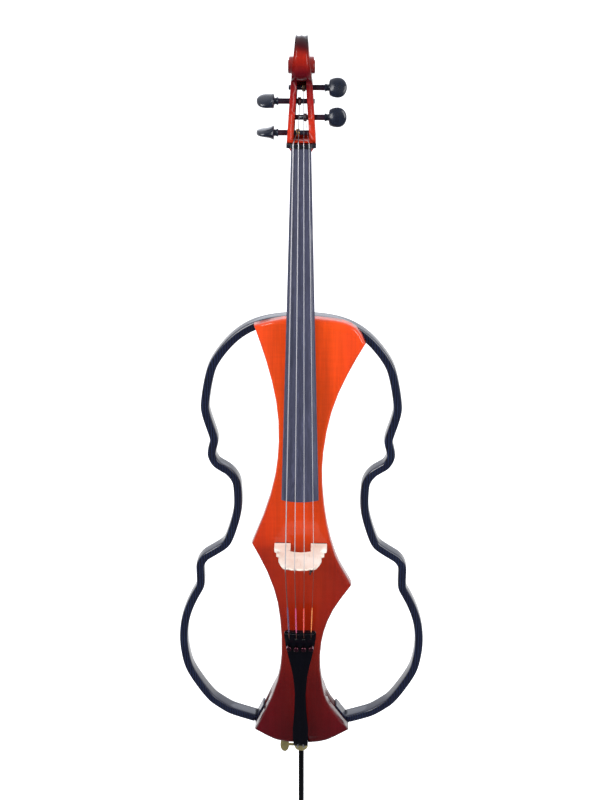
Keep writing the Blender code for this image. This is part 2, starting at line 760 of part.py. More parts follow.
def make_scroll(finish):
    """The scroll: a rim that winds inwards while each turn stands out sideways from the last."""
    radii = [(-62, 37), (-20, 38), (20, 40), (60, 44.5), (90, 47), (120, 44), (150, 38), (180, 32),
             (225, 25.5), (270, 20.5), (298, 18.5), (340, 17), (380, 16), (450, 14.5), (540, 12.7),
             (630, 11), (698, 9.5)]
    widths = [(-62, 15.7), (0, 12.5), (60, 9.5), (90, 9), (130, 10.5), (180, 13.8), (225, 15.5),
              (298, 15.7), (360, 17.5), (450, 19), (540, 20), (630, 20.5), (698, 20.8)]
    turn = 36
    start = -62
    last = 76
    centre = Vector((0, 23 * MM, NUT_Z + 121.8 * MM))

    def spot(index, radius, x):
        angle = math.radians(start + 10 * index)
        return centre + Vector((x, radius * math.cos(angle), radius * math.sin(angle)))

    radius = [graph(start + 10 * i, radii) * MM for i in range(last + 1)]
    width = [graph(start + 10 * i, widths) * MM for i in range(last + 1)]
    width[turn] = width[0]
    points = []
    faces = []

    def add(place):
        points.append(place)
        return len(points) - 1

    flute = 1.6 * MM
    first_turn = []
    for i in range(turn + 1):
        row = []
        for share, dip in ((-1, 0), (-0.5, flute), (0, 0.2 * flute), (0.5, flute), (1, 0)):
            if i in (0, turn):
                dip = 0
            row.append(add(spot(i, radius[i] - dip, share * width[i])))
        first_turn.append(row)
    rim = {}
    foot = {}
    cap = {}
    eye = radius[last]
    for side in (-1, 1):
        for i in range(last + 1):
            rim[side, i] = first_turn[i][0 if side < 0 else 4] if i <= turn else add(
                spot(i, radius[i], side * width[i]))
        for i in range(last + 1):
            inner = radius[i + turn] if i + turn <= last else eye
            foot[side, i] = add(spot(i, inner, side * width[i]))
            if i >= last - turn:
                cap[side, i] = add(spot(i, eye, side * width[last]))
    for i in range(turn):
        for a in range(4):
            faces.append((
                first_turn[i][a], first_turn[i][a + 1], first_turn[i + 1][a + 1],
                first_turn[i + 1][a],
            ))
    for side in (-1, 1):
        for i in range(last):
            faces.append((rim[side, i], rim[side, i + 1], foot[side, i + 1], foot[side, i]))
        for i in range(turn, last):
            faces.append((
                foot[side, i - turn], foot[side, i - turn + 1], rim[side, i + 1], rim[side, i],
            ))
        for i in range(last - turn, last):
            faces.append((foot[side, i], foot[side, i + 1], cap[side, i + 1], cap[side, i]))
        faces.append(tuple(cap[side, i] for i in range(last - turn, last)))
    faces.append(tuple(first_turn[0]) + tuple(reversed(first_turn[turn])))
    return piece("scroll", points, faces, finish)


def peg_radius(along):
    """Radius of the tapered peg shaft at a distance from the middle towards the head."""
    return between(along, -22 * MM, 36 * MM, 0.82, 1.0) * PEG_SHAFT_DIAMETER / 2


def peg_centre(spec):
    return Vector((0, spec["peg_y"] * MM, NUT_Z + spec["peg_z"] * MM))


def make_neck_and_scroll(finish):
    made = make_neck(finish)
    pegbox = make_pegbox(finish)
    join(made, make_tongue(finish), pegbox, make_scroll(finish))
    cut(
        made,
        make_pegbox_hollow("pocket", 10.5 * MM, 100 * MM, -30 * MM, (25 * MM, 43 * MM), 0, finish),
        make_pegbox_hollow("slot", 20 * MM, 84 * MM, 0, (70 * MM, 70 * MM), 1.2 * MM, finish),
    )
    for key, spec in STRINGS.items():
        ends = [
            (end, peg_radius(end) + PEG_HOLE_CLEARANCE) for end in (-34 * MM, 34 * MM)
        ]
        cut(made, turned(f"peg hole {key}", ends, finish, peg_centre(spec), (spec["side"], 0, 0)))
    return made


def make_fingerboard(finish):
    rings = []
    for step in range(11):
        z = NUT_Z - GAP - FINGERBOARD_LENGTH * step / 10
        half = fingerboard_half_width(z)
        crest = fingerboard_crest(z)
        under = fingerboard_underside(z)
        ring = []
        for place in range(9):
            x = half * (place / 4 - 1)
            ring.append((x, crest + camber_drop(x, FINGERBOARD_CAMBER), z))
        ring += [(half, under - MM, z), (half - MM, under, z), (-half + MM, under, z),
                 (-half, under - MM, z)]
        rings.append(ring)
    made = loft("fingerboard", rings, finish)
    rings = []
    end_z = NUT_Z - GAP - FINGERBOARD_LENGTH
    for z in (end_z - 5 * MM, end_z + 40 * MM, end_z + 110 * MM, BODY_LENGTH - TONGUE_LENGTH - 14 * MM):
        half = fingerboard_half_width(z) - 7 * MM
        under = fingerboard_underside(z)
        rings.append([
            (-half, under + 5 * MM, z), (half, under + 5 * MM, z), (half, under - MM, z),
            (half / 2, under - 4.5 * MM, z), (-half / 2, under - 4.5 * MM, z),
            (-half, under - MM, z),
        ])
    cut(made, loft("fingerboard hollow", rings, finish, smooth=False))
    return made


def make_nut(finish):
    half = NUT_WIDTH / 2
    outline = [(-half, 5.7 * MM), (-half, -4 * MM), (-17 * MM, -5.2 * MM)]
    for place in range(7):
        x = 14.5 * MM * (place / 3 - 1)
        outline.append((x, nut_crest(x)))
    outline += [(17 * MM, -5.2 * MM), (half, -4 * MM), (half, 5.7 * MM)]
    return plate("nut", outline, NUT_Z, NUT_Z + NUT_HEIGHT, finish, across="z")


# ---------------------------------------------------------------- pegs and strings

def make_peg(key, finish):
    spec = STRINGS[key]
    side = spec["side"]
    centre = peg_centre(spec)
    sections = []
    for along in (-20.5, -8, 8, 21, 36):
        radius = peg_radius(along * MM) / MM
        sections.append((along, radius, radius))
    sections += [(36.2, 6.4, 6.4), (38.4, 6.4, 6.4), (39.2, 5.2, 5.2), (42, 5.4, 5.4),
                 (43, 11.9, 11.4), (44.2, 13, 11.4), (46.5, 14.2, 9.5), (49.5, 15.3, 8.1),
                 (53.5, 16.2, 7.2), (58.5, 16.3, 6.3), (63.5, 14.6, 5.5), (67.3, 10.8, 4.9),
                 (69.5, 6, 3.6), (70.2, 2.4, 1.6)]
    turn = math.radians(spec["turn"])
    grow = PEG_HEAD_WIDTH / (32.6 * MM)
    neck = 42
    rings = []
    for along, tall, thick in sections:
        if along > neck:
            tall *= grow
            along = neck + (along - neck) * PEG_HEAD_LENGTH / (28 * MM)
        ring = []
        for step in range(16):
            angle = 2 * math.pi * step / 16
            a = tall * math.cos(angle)
            b = thick * math.sin(angle)
            y = a * math.sin(turn) + b * math.cos(turn)
            z = a * math.cos(turn) - b * math.sin(turn)
            ring.append(centre + Vector((side * along, y, z)) * MM)
        rings.append(ring)
    return loft(f"peg_{key}", rings, finish, centre)


def coil_radius(spec):
    """Outer radius of the string wound on its peg."""
    return PEG_SHAFT_DIAMETER / 2 + GAP + COIL_WALL


def make_winding(key, finish):
    spec = STRINGS[key]
    middle = spec["coil_x"] * MM
    inner = PEG_SHAFT_DIAMETER / 2 + GAP
    half = 2.6 * MM
    wire = coil_radius(spec)
    profile = [(middle - half, inner)]
    for turn in range(3):
        start = middle - half + turn * half * 2 / 3
        profile.append((start, wire - 0.5 * MM))
        profile.append((start + half / 3, wire))
    profile += [(middle + half, wire - 0.5 * MM), (middle + half, inner), profile[0]]
    return turned(f"string_winding_{key}", profile, finish, peg_centre(spec), (1, 0, 0), 12)


def tube(name, places, radii, finish, sides=8, closed=False):
    """A round cord through places, with one radius for each; a closed one joins its ends."""
    spots = [Vector(p) for p in places]
    count = len(spots)
    rings = []
    across = None
    for index in range(count):
        before = spots[index - 1] if index or closed else spots[0]
        after = spots[(index + 1) % count] if index < count - 1 or closed else spots[-1]
        coming = (spots[index] - before).normalized()
        going = (after - spots[index]).normalized()
        way = (coming + going).normalized()
        if across is None:
            across = way.orthogonal().normalized()
        across = (across - way * across.dot(way)).normalized()
        other = way.cross(across)
        ring = []
        for side in range(sides):
            angle = 2 * math.pi * side / sides
            ring.append(
                spots[index] + (across * math.cos(angle) + other * math.sin(angle)) * radii[index]
            )
        rings.append(ring)
    return loft(name, rings, finish, closed=closed)


def make_string(key, index, finish):
    """A string from its winding over nut and bridge to its ball end behind the tailpiece's lever."""
    spec = STRINGS[key]
    radius = spec["diameter"] / 2 * MM
    lift = radius + STRING_CLEARANCE
    nut_x = string_x(index, STRING_SPACING_NUT)
    bridge_x = string_x(index, STRING_SPACING_BRIDGE)
    tail_x = string_x(index, TUNER_SPACING)
    nut_low = Vector((nut_x, nut_crest(nut_x) - lift, NUT_Z - GAP))
    nut_high = Vector((nut_x, nut_crest(nut_x) - lift, NUT_Z + NUT_HEIGHT + GAP))
    centre = peg_centre(spec)
    reach = Vector((centre.y - nut_high.y, centre.z - nut_high.z))
    clear = coil_radius(spec) + lift
    tilt = math.asin(clear / reach.length)
    heading = math.atan2(reach.y, reach.x) + tilt
    run = math.sqrt(reach.length ** 2 - clear ** 2)
    end_x = spec["coil_x"] * MM
    top = Vector((
        end_x, nut_high.y + run * math.cos(heading), nut_high.z + run * math.sin(heading),
    ))
    beyond = top + Vector((0, math.cos(heading), math.sin(heading))) * MM
    half_bridge = BRIDGE_TOP_THICKNESS / 2
    crest = bridge_crest(bridge_x) - lift
    bar_y = tailpiece_front(tail_x, FRET_Z) - FRET_RADIUS * 0.6 - lift - 0.1 * MM
    bend_y = tailpiece_front(tail_x, HOOK_Z) + 1.5 * MM
    ball = LEVER_Y + LEVER_ARM / 2 + GAP
    places = [
        beyond, top, nut_high, nut_low,
        Vector((bridge_x, crest, BRIDGE_Z + half_bridge)),
        Vector((bridge_x, crest, BRIDGE_Z - half_bridge)),
        Vector((tail_x, bar_y, FRET_Z + 0.8 * MM)),
        Vector((tail_x, bar_y + 0.4 * MM, FRET_Z - 1.4 * MM)),
        Vector((tail_x, bend_y - 2.5 * MM, HOOK_Z + 1.8 * MM)),
        Vector((tail_x, bend_y, HOOK_Z)),
        Vector((tail_x, ball, HOOK_Z)),
        Vector((tail_x, ball + 0.01 * MM, HOOK_Z)),
        Vector((tail_x, ball + 3.6 * MM, HOOK_Z)),
    ]
    radii = [radius] * (len(places) - 2) + [BALL_DIAMETER / 2] * 2
    return tube(f"string_{key}", places, radii, finish)


# ---------------------------------------------------------------- bridge and pickups

def make_bridge(finish):
    """The bridge, thick at its feet and thin at its crest."""
    half_span = BRIDGE_FOOT_SPAN / 2
    right = [(17.5, 0), (45, 0), (45, 18.5), (43.4, 22), (35.2, 24.6), (33.2, 28), (34.6, 30.6),
             (40.8, 34.6), (40.6, 37.6), (34.8, 42.6), (34, 46.4), (36.4, 51.5), (36.2, 57),
             (32.4, 71), (27.6, 83)]
    arch = [(0, 32), (9, 31), (17, 28.4), (20.8, 26.3), (20.2, 23), (17.5, 20)]
    scale = half_span / 45
    grow = BRIDGE_HEIGHT / 88.6
    outline = [(x * scale, h * grow) for x, h in right]
    for place in range(9):
        x = 24 * MM * (1 - place / 4)
        outline.append((x, BRIDGE_HEIGHT - camber_drop(x, BRIDGE_CAMBER)))
    outline += [(-x * scale, h * grow) for x, h in reversed(right)]
    outline += [(-x * scale, h * grow) for x, h in reversed(arch)]
    outline += [(x * scale, h * grow) for x, h in arch[1:]]
    rings = []
    for side in (-1, 1):
        ring = []
        for x, height in outline:
            thick = between(height, 0, BRIDGE_HEIGHT, BRIDGE_FOOT_THICKNESS, BRIDGE_TOP_THICKNESS)
            ring.append((x, CORE_FACE_Y - GAP - height, BRIDGE_Z + side * thick / 2))
        rings.append(ring)
    made = loft("bridge", rings, finish, smooth=False)
    cut(made, rod(
        "lead socket", (LEAD_TOP_X, CORE_FACE_Y - LEAD_HEIGHT, BRIDGE_Z), (0, 0, -1), 0, 9 * MM,
        LEAD_DIAMETER / 2 + GAP, finish, 12,
    ))
    return made


def make_pickup(side, finish):
    name = "pickup_treble" if side > 0 else "pickup_bass"
    middle = side * PICKUP_MIDDLE_X
    return block(
        name,
        (middle - PICKUP_WIDTH / 2, CORE_FACE_Y + GAP, BRIDGE_Z - PICKUP_HEIGHT / 2),
        (middle + PICKUP_WIDTH / 2, CORE_FACE_Y + GAP + PICKUP_DEPTH, BRIDGE_Z + PICKUP_HEIGHT / 2),
        finish,
    )


def make_pickup_lead(finish):
    """Short lead from the bridge's lower face into the core."""
    top_y = CORE_FACE_Y - LEAD_HEIGHT
    places = [
        (LEAD_TOP_X, top_y, BRIDGE_Z - 1.2 * MM), (LEAD_TOP_X, top_y, BRIDGE_Z - 7 * MM),
        (LEAD_TOP_X - 1 * MM, top_y + 1.5 * MM, BRIDGE_Z - 12 * MM),
        (LEAD_TOP_X - 3 * MM, top_y + 7 * MM, BRIDGE_Z - 16 * MM),
        (LEAD_X, top_y + 22 * MM, LEAD_Z + 3 * MM), (LEAD_X, top_y + 45 * MM, LEAD_Z),
        (LEAD_X, CORE_FACE_Y + 6 * MM, LEAD_Z),
    ]
    smooth = curve_points([tuple(p) for p in places], 3)
    return tube("pickup_lead", smooth, [LEAD_DIAMETER / 2] * len(smooth), finish)


# ---------------------------------------------------------------- tailpiece and fine tuners

def make_tailpiece(finish):
    rings = []
    heights = [0, 0.012, 0.05, 0.14, 0.22, 0.30, 0.38, 0.46, 0.54, 0.62, 0.70, 0.78, 0.86, 0.93, 0.985, 1]
    for share in heights:
        z = TAILPIECE_BOTTOM_Z + TAILPIECE_LENGTH * share
        half = tailpiece_half_width(z)
        if share in (0, 1):
            half -= 2.5 * MM
        back = tailpiece_crest(z) + TAILPIECE_THICKNESS
        ring = []
        for place in range(7):
            x = half * (place / 3 - 1)
            ring.append((x, tailpiece_front(x, z), z))
        ring += [(half - MM, back, z), (-half + MM, back, z)]
        rings.append(ring)
    made = loft("tailpiece", rings, finish)
    back = tailpiece_crest(LEVER_Z) + TAILPIECE_THICKNESS
    for step in (-2, -1, 0, 1, 2):
        middle = step * TUNER_SPACING * 0.98
        join(made, block(
            f"lug {step}", (middle - 1.4 * MM, back - 3 * MM, LEVER_Z - 3.2 * MM),
            (middle + 1.4 * MM, LEVER_Y + 3.2 * MM, LEVER_Z + 3.2 * MM), finish,
        ))
    cut(made, rod(
        "pin hole", (0, LEVER_Y, LEVER_Z), (1, 0, 0), -TAILPIECE_TOP_WIDTH, TAILPIECE_TOP_WIDTH,
        TUNER_PIN_DIAMETER / 2 + GAP, finish, 12,
    ))
    for index in range(4):
        x = string_x(index, TUNER_SPACING)
        cut(made, turned(
            f"string hole {index}",
            [(-12 * MM, 9 * MM), (3.5 * MM, STRING_HOLE / 2), (20 * MM, STRING_HOLE / 2)],
            finish, (x, tailpiece_crest(HOOK_Z), HOOK_Z), (0, 1, 0), 12,
        ))
        cut(made, rod(
            f"screw hole {index}", (x, tailpiece_crest(SCREW_Z), SCREW_Z), (0, 1, 0), -12 * MM,
            20 * MM, TUNER_SCREW_DIAMETER / 2 + GAP, finish, 12,
        ))
    for side in (-1, 1):
        cut(made, rod(
            f"gut hole {side}", (side * GUT_HALF_SPACING, GUT_TOP_Y, TAILPIECE_BOTTOM_Z), (0, 0, 1),
            -10 * MM, GUT_HOLE_DEPTH + 2 * GAP, TAILGUT_DIAMETER / 2 + GAP, finish, 12,
        ))
    cut(made, tube_between_edges("string bar groove", FRET_RADIUS + GAP, 30 * MM, finish))
    return made


def tube_between_edges(name, radius, half, finish):
    """A rod bent to the tailpiece's camber, half-sunk in its face below the top edge."""
    places = []
    for place in range(7):
        x = half * (place / 3 - 1)
        places.append((x, tailpiece_front(x, FRET_Z) + 0.4 * FRET_RADIUS, FRET_Z))
    return tube(name, places, [radius] * len(places), finish, 10)


def make_tuner_screw(key, index, finish):
    x = string_x(index, TUNER_SPACING)
    face = tailpiece_front(x, SCREW_Z)
    tip = LEVER_Y - LEVER_ARM / 2 - LEVER_PLAY
    radius = TUNER_SCREW_DIAMETER / 2
    head = face - TUNER_HEAD_RISE
    length = tip - head
    profile = [
        (-8 * MM, 3.6 * MM), (-7.4 * MM, 4.4 * MM), (-6 * MM, 4.5 * MM), (-1 * MM, 4.5 * MM),
        (0, 4.0 * MM), (0.01 * MM, radius), (length - MM, radius), (length, radius * 0.5),
    ]
    return turned(f"fine_tuner_screw_{key}", profile, finish, (x, head, SCREW_Z), (0, 1, 0), 16)


def make_lever(key, index, finish):
    """Rocker behind the tailpiece: its upper arm holds the string's ball, its lower arm the screw."""
    x = string_x(index, TUNER_SPACING)
    half = LEVER_WIDTH / 2
    arm = LEVER_ARM / 2
    outline = [
        (LEVER_Y - arm, SCREW_Z - 3 * MM), (LEVER_Y + arm, SCREW_Z - 3 * MM),
        (LEVER_Y + arm + MM, LEVER_Z - 3 * MM), (LEVER_Y + arm + MM, LEVER_Z + 2.6 * MM),
        (LEVER_Y + arm, LEVER_Z + 3.6 * MM), (LEVER_Y + arm, HOOK_Z + 2.6 * MM),
        (LEVER_Y - arm, HOOK_Z + 2.6 * MM),
    ]
    rings = [[(x + side * half, y, z) for y, z in outline] for side in (-1, 1)]
    made = loft(f"fine_tuner_lever_{key}", rings, finish, (x, LEVER_Y, LEVER_Z), smooth=False)
    cut(made, rod(
        f"lever pin hole {key}", (x, LEVER_Y, LEVER_Z), (1, 0, 0), -half - MM, half + MM,
        TUNER_PIN_DIAMETER / 2 + GAP, finish, 12,
    ))
    cut(made, rod(
        f"lever string hole {key}", (x, LEVER_Y, HOOK_Z), (0, 1, 0), -arm - MM, arm + MM,
        STRING_HOLE / 2 - 0.2 * MM, finish, 12,
    ))
    return made


def make_tailgut(finish):
    """Cord from the tailpiece over the saddle and once round the endpin's neck."""
    legs = [
        (GUT_HALF_SPACING, GUT_TOP_Y, TAILPIECE_BOTTOM_Z + GUT_HOLE_DEPTH),
        (GUT_HALF_SPACING, GUT_TOP_Y, TAILPIECE_BOTTOM_Z - MM),
        (4.8 * MM, GUT_TOP_Y + 3 * MM, -0.5 * MM), (5.2 * MM, -30.4 * MM, -8.4 * MM),
        (5.5 * MM, -27.0 * MM, -13.0 * MM), (6.0 * MM, -22.5 * MM, -14.3 * MM),
        (8.2 * MM, -7.0 * MM, -12.9 * MM),
    ]
    loop = PLUG_NECK_DIAMETER / 2 + TAILGUT_DIAMETER / 2 + 2 * GAP
    places = list(legs)
    for angle in range(0, 181, 20):
        turn = math.radians(angle)
        places.append((loop * math.cos(turn), PIN_Y + loop * math.sin(turn), GUT_LOOP_Z))
    places += [(-x, y, z) for x, y, z in reversed(legs)]
    return tube("tailgut", places, [TAILGUT_DIAMETER / 2] * len(places), finish)


def make_saddle(finish):
    outline = [
        (SADDLE_BACK_Y, SADDLE_TOP_Z), (-24.5 * MM, SADDLE_TOP_Z), (-27 * MM, SADDLE_TOP_Z - 2 * MM),
        (-27.4 * MM, -6.5 * MM), (-25.4 * MM, -10.2 * MM), (-22 * MM, -11.4 * MM),
        (SADDLE_BACK_Y, -11.4 * MM),
    ]
    half = SADDLE_WIDTH / 2
    return plate("saddle", outline, -half, half, finish, across="x")


# ---------------------------------------------------------------- endpin

def make_endpin(steel, brass, rubber, ebony):
    down = (0, 0, 1)
    foot = (0, PIN_Y, 0)
    bore = PIN_DIAMETER / 2 + GAP
    shank = PLUG_DIAMETER / 2
    turned("endpin_plug", [
        (COLLAR_TOP_Z + GAP, bore), (COLLAR_TOP_Z + GAP, PLUG_NECK_DIAMETER / 2),
        (-9.7 * MM, PLUG_NECK_DIAMETER / 2), (-9.7 * MM, shank), (PLUG_TOP_Z, shank),
        (PLUG_TOP_Z, bore), (COLLAR_TOP_Z + GAP, bore),
    ], ebony, foot, down, 24)
    outer = COLLAR_DIAMETER / 2
    collar = turned("endpin_collar", [
        (COLLAR_BOTTOM_Z, bore), (COLLAR_BOTTOM_Z, outer - 3 * MM),
        (COLLAR_BOTTOM_Z + MM, outer - MM), (COLLAR_BOTTOM_Z + 3 * MM, outer),
        (COLLAR_TOP_Z - 3 * MM, outer), (COLLAR_TOP_Z - MM, outer - MM),
        (COLLAR_TOP_Z, outer - 3 * MM), (COLLAR_TOP_Z, bore), (COLLAR_BOTTOM_Z, bore),
    ], brass, foot, down, 28)
    screw_z = COLLAR_TOP_Z - 10 * MM
    stem = 2.6 * MM
    tip_x = PIN_DIAMETER / 2 + 2 * GAP
    paddle_x = outer + 10 * MM
    cut(collar, rod(
        "thumbscrew hole", (0, PIN_Y, screw_z), (-1, 0, 0), 3 * MM, outer + 5 * MM, stem + GAP,
        brass, 16,
    ))
    thumbscrew = turned("endpin_thumbscrew", [
        (tip_x, stem * 0.7), (tip_x + MM, stem), (paddle_x + 3 * MM, stem),
        (paddle_x + 5 * MM, stem * 0.6),
    ], brass, (0, PIN_Y, screw_z), (-1, 0, 0), 16)
    wing = []
    for step in range(20):
        angle = 2 * math.pi * step / 20
        wing.append((
            -paddle_x - 8 * MM + 8.2 * MM * math.cos(angle), screw_z + 14.3 * MM * math.sin(angle),
        ))
    join(thumbscrew, plate("wing", wing, PIN_Y - 2 * MM, PIN_Y + 2 * MM, brass))
    rod_low = TIP_Z + 20 * MM
    pin = rod(
        "endpin_rod", (0, PIN_Y, 0), (0, 0, 1), rod_low, rod_low + PIN_LENGTH, PIN_DIAMETER / 2,
        steel, 24,
    )
    cut(pin, rod(
        "spike socket", (0, PIN_Y, rod_low), (0, 0, 1), -5 * MM, 15 * MM, 2.5 * MM + GAP, steel, 12,
    ))
    turned("endpin_spike", [
        (-15 * MM, 0.7 * MM), (-1 * MM, 4.4 * MM), (-GAP, 4.4 * MM), (-GAP, 2.5 * MM),
        (14 * MM, 2.5 * MM),
    ], steel, (0, PIN_Y, rod_low), (0, 0, 1), 16)
    wide = TIP_DIAMETER / 2
    turned("rubber_tip", [
        (0, wide - 1.2 * MM), (1.2 * MM, wide), (6 * MM, wide), (12 * MM, wide - 1.5 * MM),
        (TIP_HEIGHT - MM, wide - 2.4 * MM), (TIP_HEIGHT, wide - 3.2 * MM),
        (TIP_HEIGHT, bore), (19 * MM, bore), (6.5 * MM, bore), (4.3 * MM, 1.6 * MM),
    ], rubber, (0, PIN_Y, TIP_Z), (0, 0, 1), 24)


# ---------------------------------------------------------------- electronics

def make_electronics(black, steel, board_green, battery_grey, knob_finish):
    back = CORE_BACK_Y + GAP
    outside = back + COVER_THICKNESS
    half = COVER_WIDTH / 2
    low = COVER_MIDDLE_Z - COVER_LENGTH / 2
    high = COVER_MIDDLE_Z + COVER_LENGTH / 2
    cover = block("electronics_cover", (-half, back, low), (half, outside, high), black)
    door_half = DOOR_WIDTH / 2
    door_high = DOOR_LOW_Z + DOOR_LENGTH
    cut(cover, block(
        "door opening", (-door_half - DOOR_GAP, back - MM, DOOR_LOW_Z - DOOR_GAP),
        (door_half + DOOR_GAP, outside + MM, door_high + DOOR_GAP), black,
    ))
    for x, z in COVER_SCREWS:
        cut(cover, rod(
            f"cover hole {x:.3f} {z:.3f}", (x, back, z), (0, 1, 0), -MM, COVER_THICKNESS + MM,
            COVER_SCREW_SHAFT / 2 + GAP, black, 12,
        ))
    for number, (x, z) in enumerate(COVER_SCREWS, 1):
        turned(f"cover_screw_{number}", [
            (-10 * MM + GAP, COVER_SCREW_SHAFT / 2 * 0.7), (-8 * MM, COVER_SCREW_SHAFT / 2),
            (GAP, COVER_SCREW_SHAFT / 2), (GAP, 3 * MM), (1 * MM, 3 * MM), (1.7 * MM, 2 * MM),
        ], steel, (x, outside, z), (0, 1, 0), 12)
    outline = [(-door_half, DOOR_LOW_Z), (door_half, DOOR_LOW_Z), (door_half, door_high),
               (-door_half, door_high)]
    rings = [[(x, y, z) for x, z in outline] for y in (back, outside)]
    loft("battery_door", rings, black, (0, outside, DOOR_LOW_Z), smooth=False)
    block(
        "battery", (-13 * MM, CORE_BACK_Y - 19.5 * MM, POCKET_HIGH_Z - 50 * MM),
        (13 * MM, CORE_BACK_Y - 2.5 * MM, POCKET_HIGH_Z - 2 * MM), battery_grey,
    )
    board_y = CORE_BACK_Y - 12 * MM
    block(
        "preamp_board", (-17 * MM, board_y - 1.6 * MM, 497 * MM), (17 * MM, board_y, 584 * MM),
        board_green,
    )
    for name, z in KNOBS.items():
        cut(cover, rod(
            f"{name} hole", (0, back, z), (0, 1, 0), -MM, COVER_THICKNESS + MM,
            KNOB_SHAFT_DIAMETER / 2 + GAP, black, 16,
        ))
        wide = KNOB_DIAMETER / 2
        profile = [
            (board_y + GAP - outside, KNOB_SHAFT_DIAMETER / 2), (2 * GAP, KNOB_SHAFT_DIAMETER / 2),
            (2 * GAP, wide), (8 * MM, wide - 0.8 * MM), (9.5 * MM, wide - 2.2 * MM),
        ]
        knob = turned(f"{name}_knob", profile, knob_finish, (0, outside, z), (0, 1, 0), 20)
        cut(knob, block(
            f"{name} mark", (-0.6 * MM, outside + 8.6 * MM, z + 1.5 * MM),
            (0.6 * MM, outside + 12 * MM, z + 9 * MM), knob_finish,
        ))
    for name, x, socket in SOCKETS:
        cut(cover, rod(
            f"{name} hole", (x, back, SOCKET_Z), (0, 1, 0), -MM, COVER_THICKNESS + MM,
            SOCKET_BARREL / 2 + GAP, black, 20,
        ))
        turned(name, [
            (-14 * MM, SOCKET_BARREL / 2), (GAP, SOCKET_BARREL / 2), (GAP, SOCKET_BARREL / 2 + 1.8 * MM),
            (2.2 * MM, SOCKET_BARREL / 2 + 1.4 * MM), (2.2 * MM, socket / 2), (-12 * MM, socket / 2),
        ], steel, (x, outside, SOCKET_Z), (0, 1, 0), 20)


# ---------------------------------------------------------------- the whole instrument

clear_scene()
bpy.context.scene.unit_settings.scale_length = 1.0
INSTRUMENT = empty("instrument", (0, -PIN_Y, -TIP_Z))

VARNISH = material("red varnish", (0.42, 0.055, 0.018), 0.22)
DARK_VARNISH = material("dark varnish", (0.10, 0.014, 0.012), 0.3)
CARBON = material("carbon", (0.018, 0.024, 0.038), 0.28)
NECK_WOOD = material("neck varnish", (0.26, 0.035, 0.018), 0.25)
EBONY = material("ebony", (0.012, 0.012, 0.014), 0.42)
MAPLE = material("plain maple", (0.80, 0.62, 0.42), 0.5)
STEEL = material("string steel", (0.62, 0.62, 0.65), 0.25, 1.0)
CHROME = material("chrome", (0.75, 0.75, 0.78), 0.12, 1.0)
BRASS = material("brass", (0.55, 0.42, 0.16), 0.3, 1.0)
BLACK_STEEL = material("black steel", (0.03, 0.03, 0.034), 0.35, 0.8)
RUBBER = material("rubber", (0.015, 0.015, 0.015), 0.8)
PLASTIC = material("black plastic", (0.02, 0.02, 0.022), 0.4)
BOARD = material("circuit board", (0.02, 0.16, 0.06), 0.5)
BATTERY = material("battery casing", (0.16, 0.16, 0.18), 0.35)
CORD = material("tail cord", (0.03, 0.03, 0.03), 0.5)

make_body_front(VARNISH)
make_body_back(DARK_VARNISH)
for side in (-1, 1):
    make_frame_half(side, CARBON)
    make_flange(side, CARBON)
    make_pickup(side, BLACK_STEEL)
make_neck_and_scroll(NECK_WOOD)
make_fingerboard(EBONY)
make_nut(EBONY)
for number, key in enumerate(STRINGS):
    make_peg(key, EBONY)
    make_winding(key, STEEL)
    make_string(key, number, STEEL)
    make_tuner_screw(key, number, CHROME)
    make_lever(key, number, BLACK_STEEL)
make_bridge(MAPLE)
make_pickup_lead(PLASTIC)
make_tailpiece(EBONY)
tube_between_edges("string_bar", FRET_RADIUS, 24 * MM, BLACK_STEEL)
rod(
    "tuner_pin", (0, LEVER_Y, LEVER_Z), (1, 0, 0), -26 * MM, 26 * MM, TUNER_PIN_DIAMETER / 2,
    CHROME, 12,
)
make_tailgut(CORD)
make_saddle(EBONY)
make_endpin(BLACK_STEEL, BRASS, RUBBER, EBONY)
make_electronics(PLASTIC, CHROME, BOARD, BATTERY, PLASTIC)
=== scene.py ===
"""Looks of the electric cello: finishes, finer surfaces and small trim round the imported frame."""

import json
import math

import bmesh
import bpy
from mathutils import Matrix, Vector


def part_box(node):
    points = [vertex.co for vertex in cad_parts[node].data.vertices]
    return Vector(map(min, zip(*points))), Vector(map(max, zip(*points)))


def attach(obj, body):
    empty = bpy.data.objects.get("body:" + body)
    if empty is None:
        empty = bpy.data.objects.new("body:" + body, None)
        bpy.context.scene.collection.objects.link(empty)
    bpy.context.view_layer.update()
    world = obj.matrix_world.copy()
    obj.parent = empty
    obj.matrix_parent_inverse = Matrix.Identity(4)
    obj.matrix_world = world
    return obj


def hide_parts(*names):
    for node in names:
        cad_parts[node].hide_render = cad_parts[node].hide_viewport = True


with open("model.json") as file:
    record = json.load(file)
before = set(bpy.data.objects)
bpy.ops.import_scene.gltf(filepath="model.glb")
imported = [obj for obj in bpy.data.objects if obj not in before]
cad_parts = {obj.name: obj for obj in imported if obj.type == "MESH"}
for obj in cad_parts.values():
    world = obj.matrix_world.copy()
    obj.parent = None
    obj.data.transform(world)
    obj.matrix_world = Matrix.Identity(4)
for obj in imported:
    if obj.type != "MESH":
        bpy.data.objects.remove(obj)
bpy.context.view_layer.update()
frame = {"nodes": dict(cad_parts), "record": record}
NODES = frame["nodes"]
RECORD = frame["record"]
BODY_OF = {
    node: body for body, nodes in RECORD["behaviour"]["bodies"].items() for node in nodes}

MM = 0.001
STRING_KEYS = ("c", "g", "d", "a")
CORE_LOW, CORE_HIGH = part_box("body_front")
NECK_LOW, NECK_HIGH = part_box("neck_and_scroll")
BRIDGE_LOW, BRIDGE_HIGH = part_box("bridge")
NUT_LOW, NUT_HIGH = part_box("nut")
BAR_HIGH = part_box("string_bar")[1]

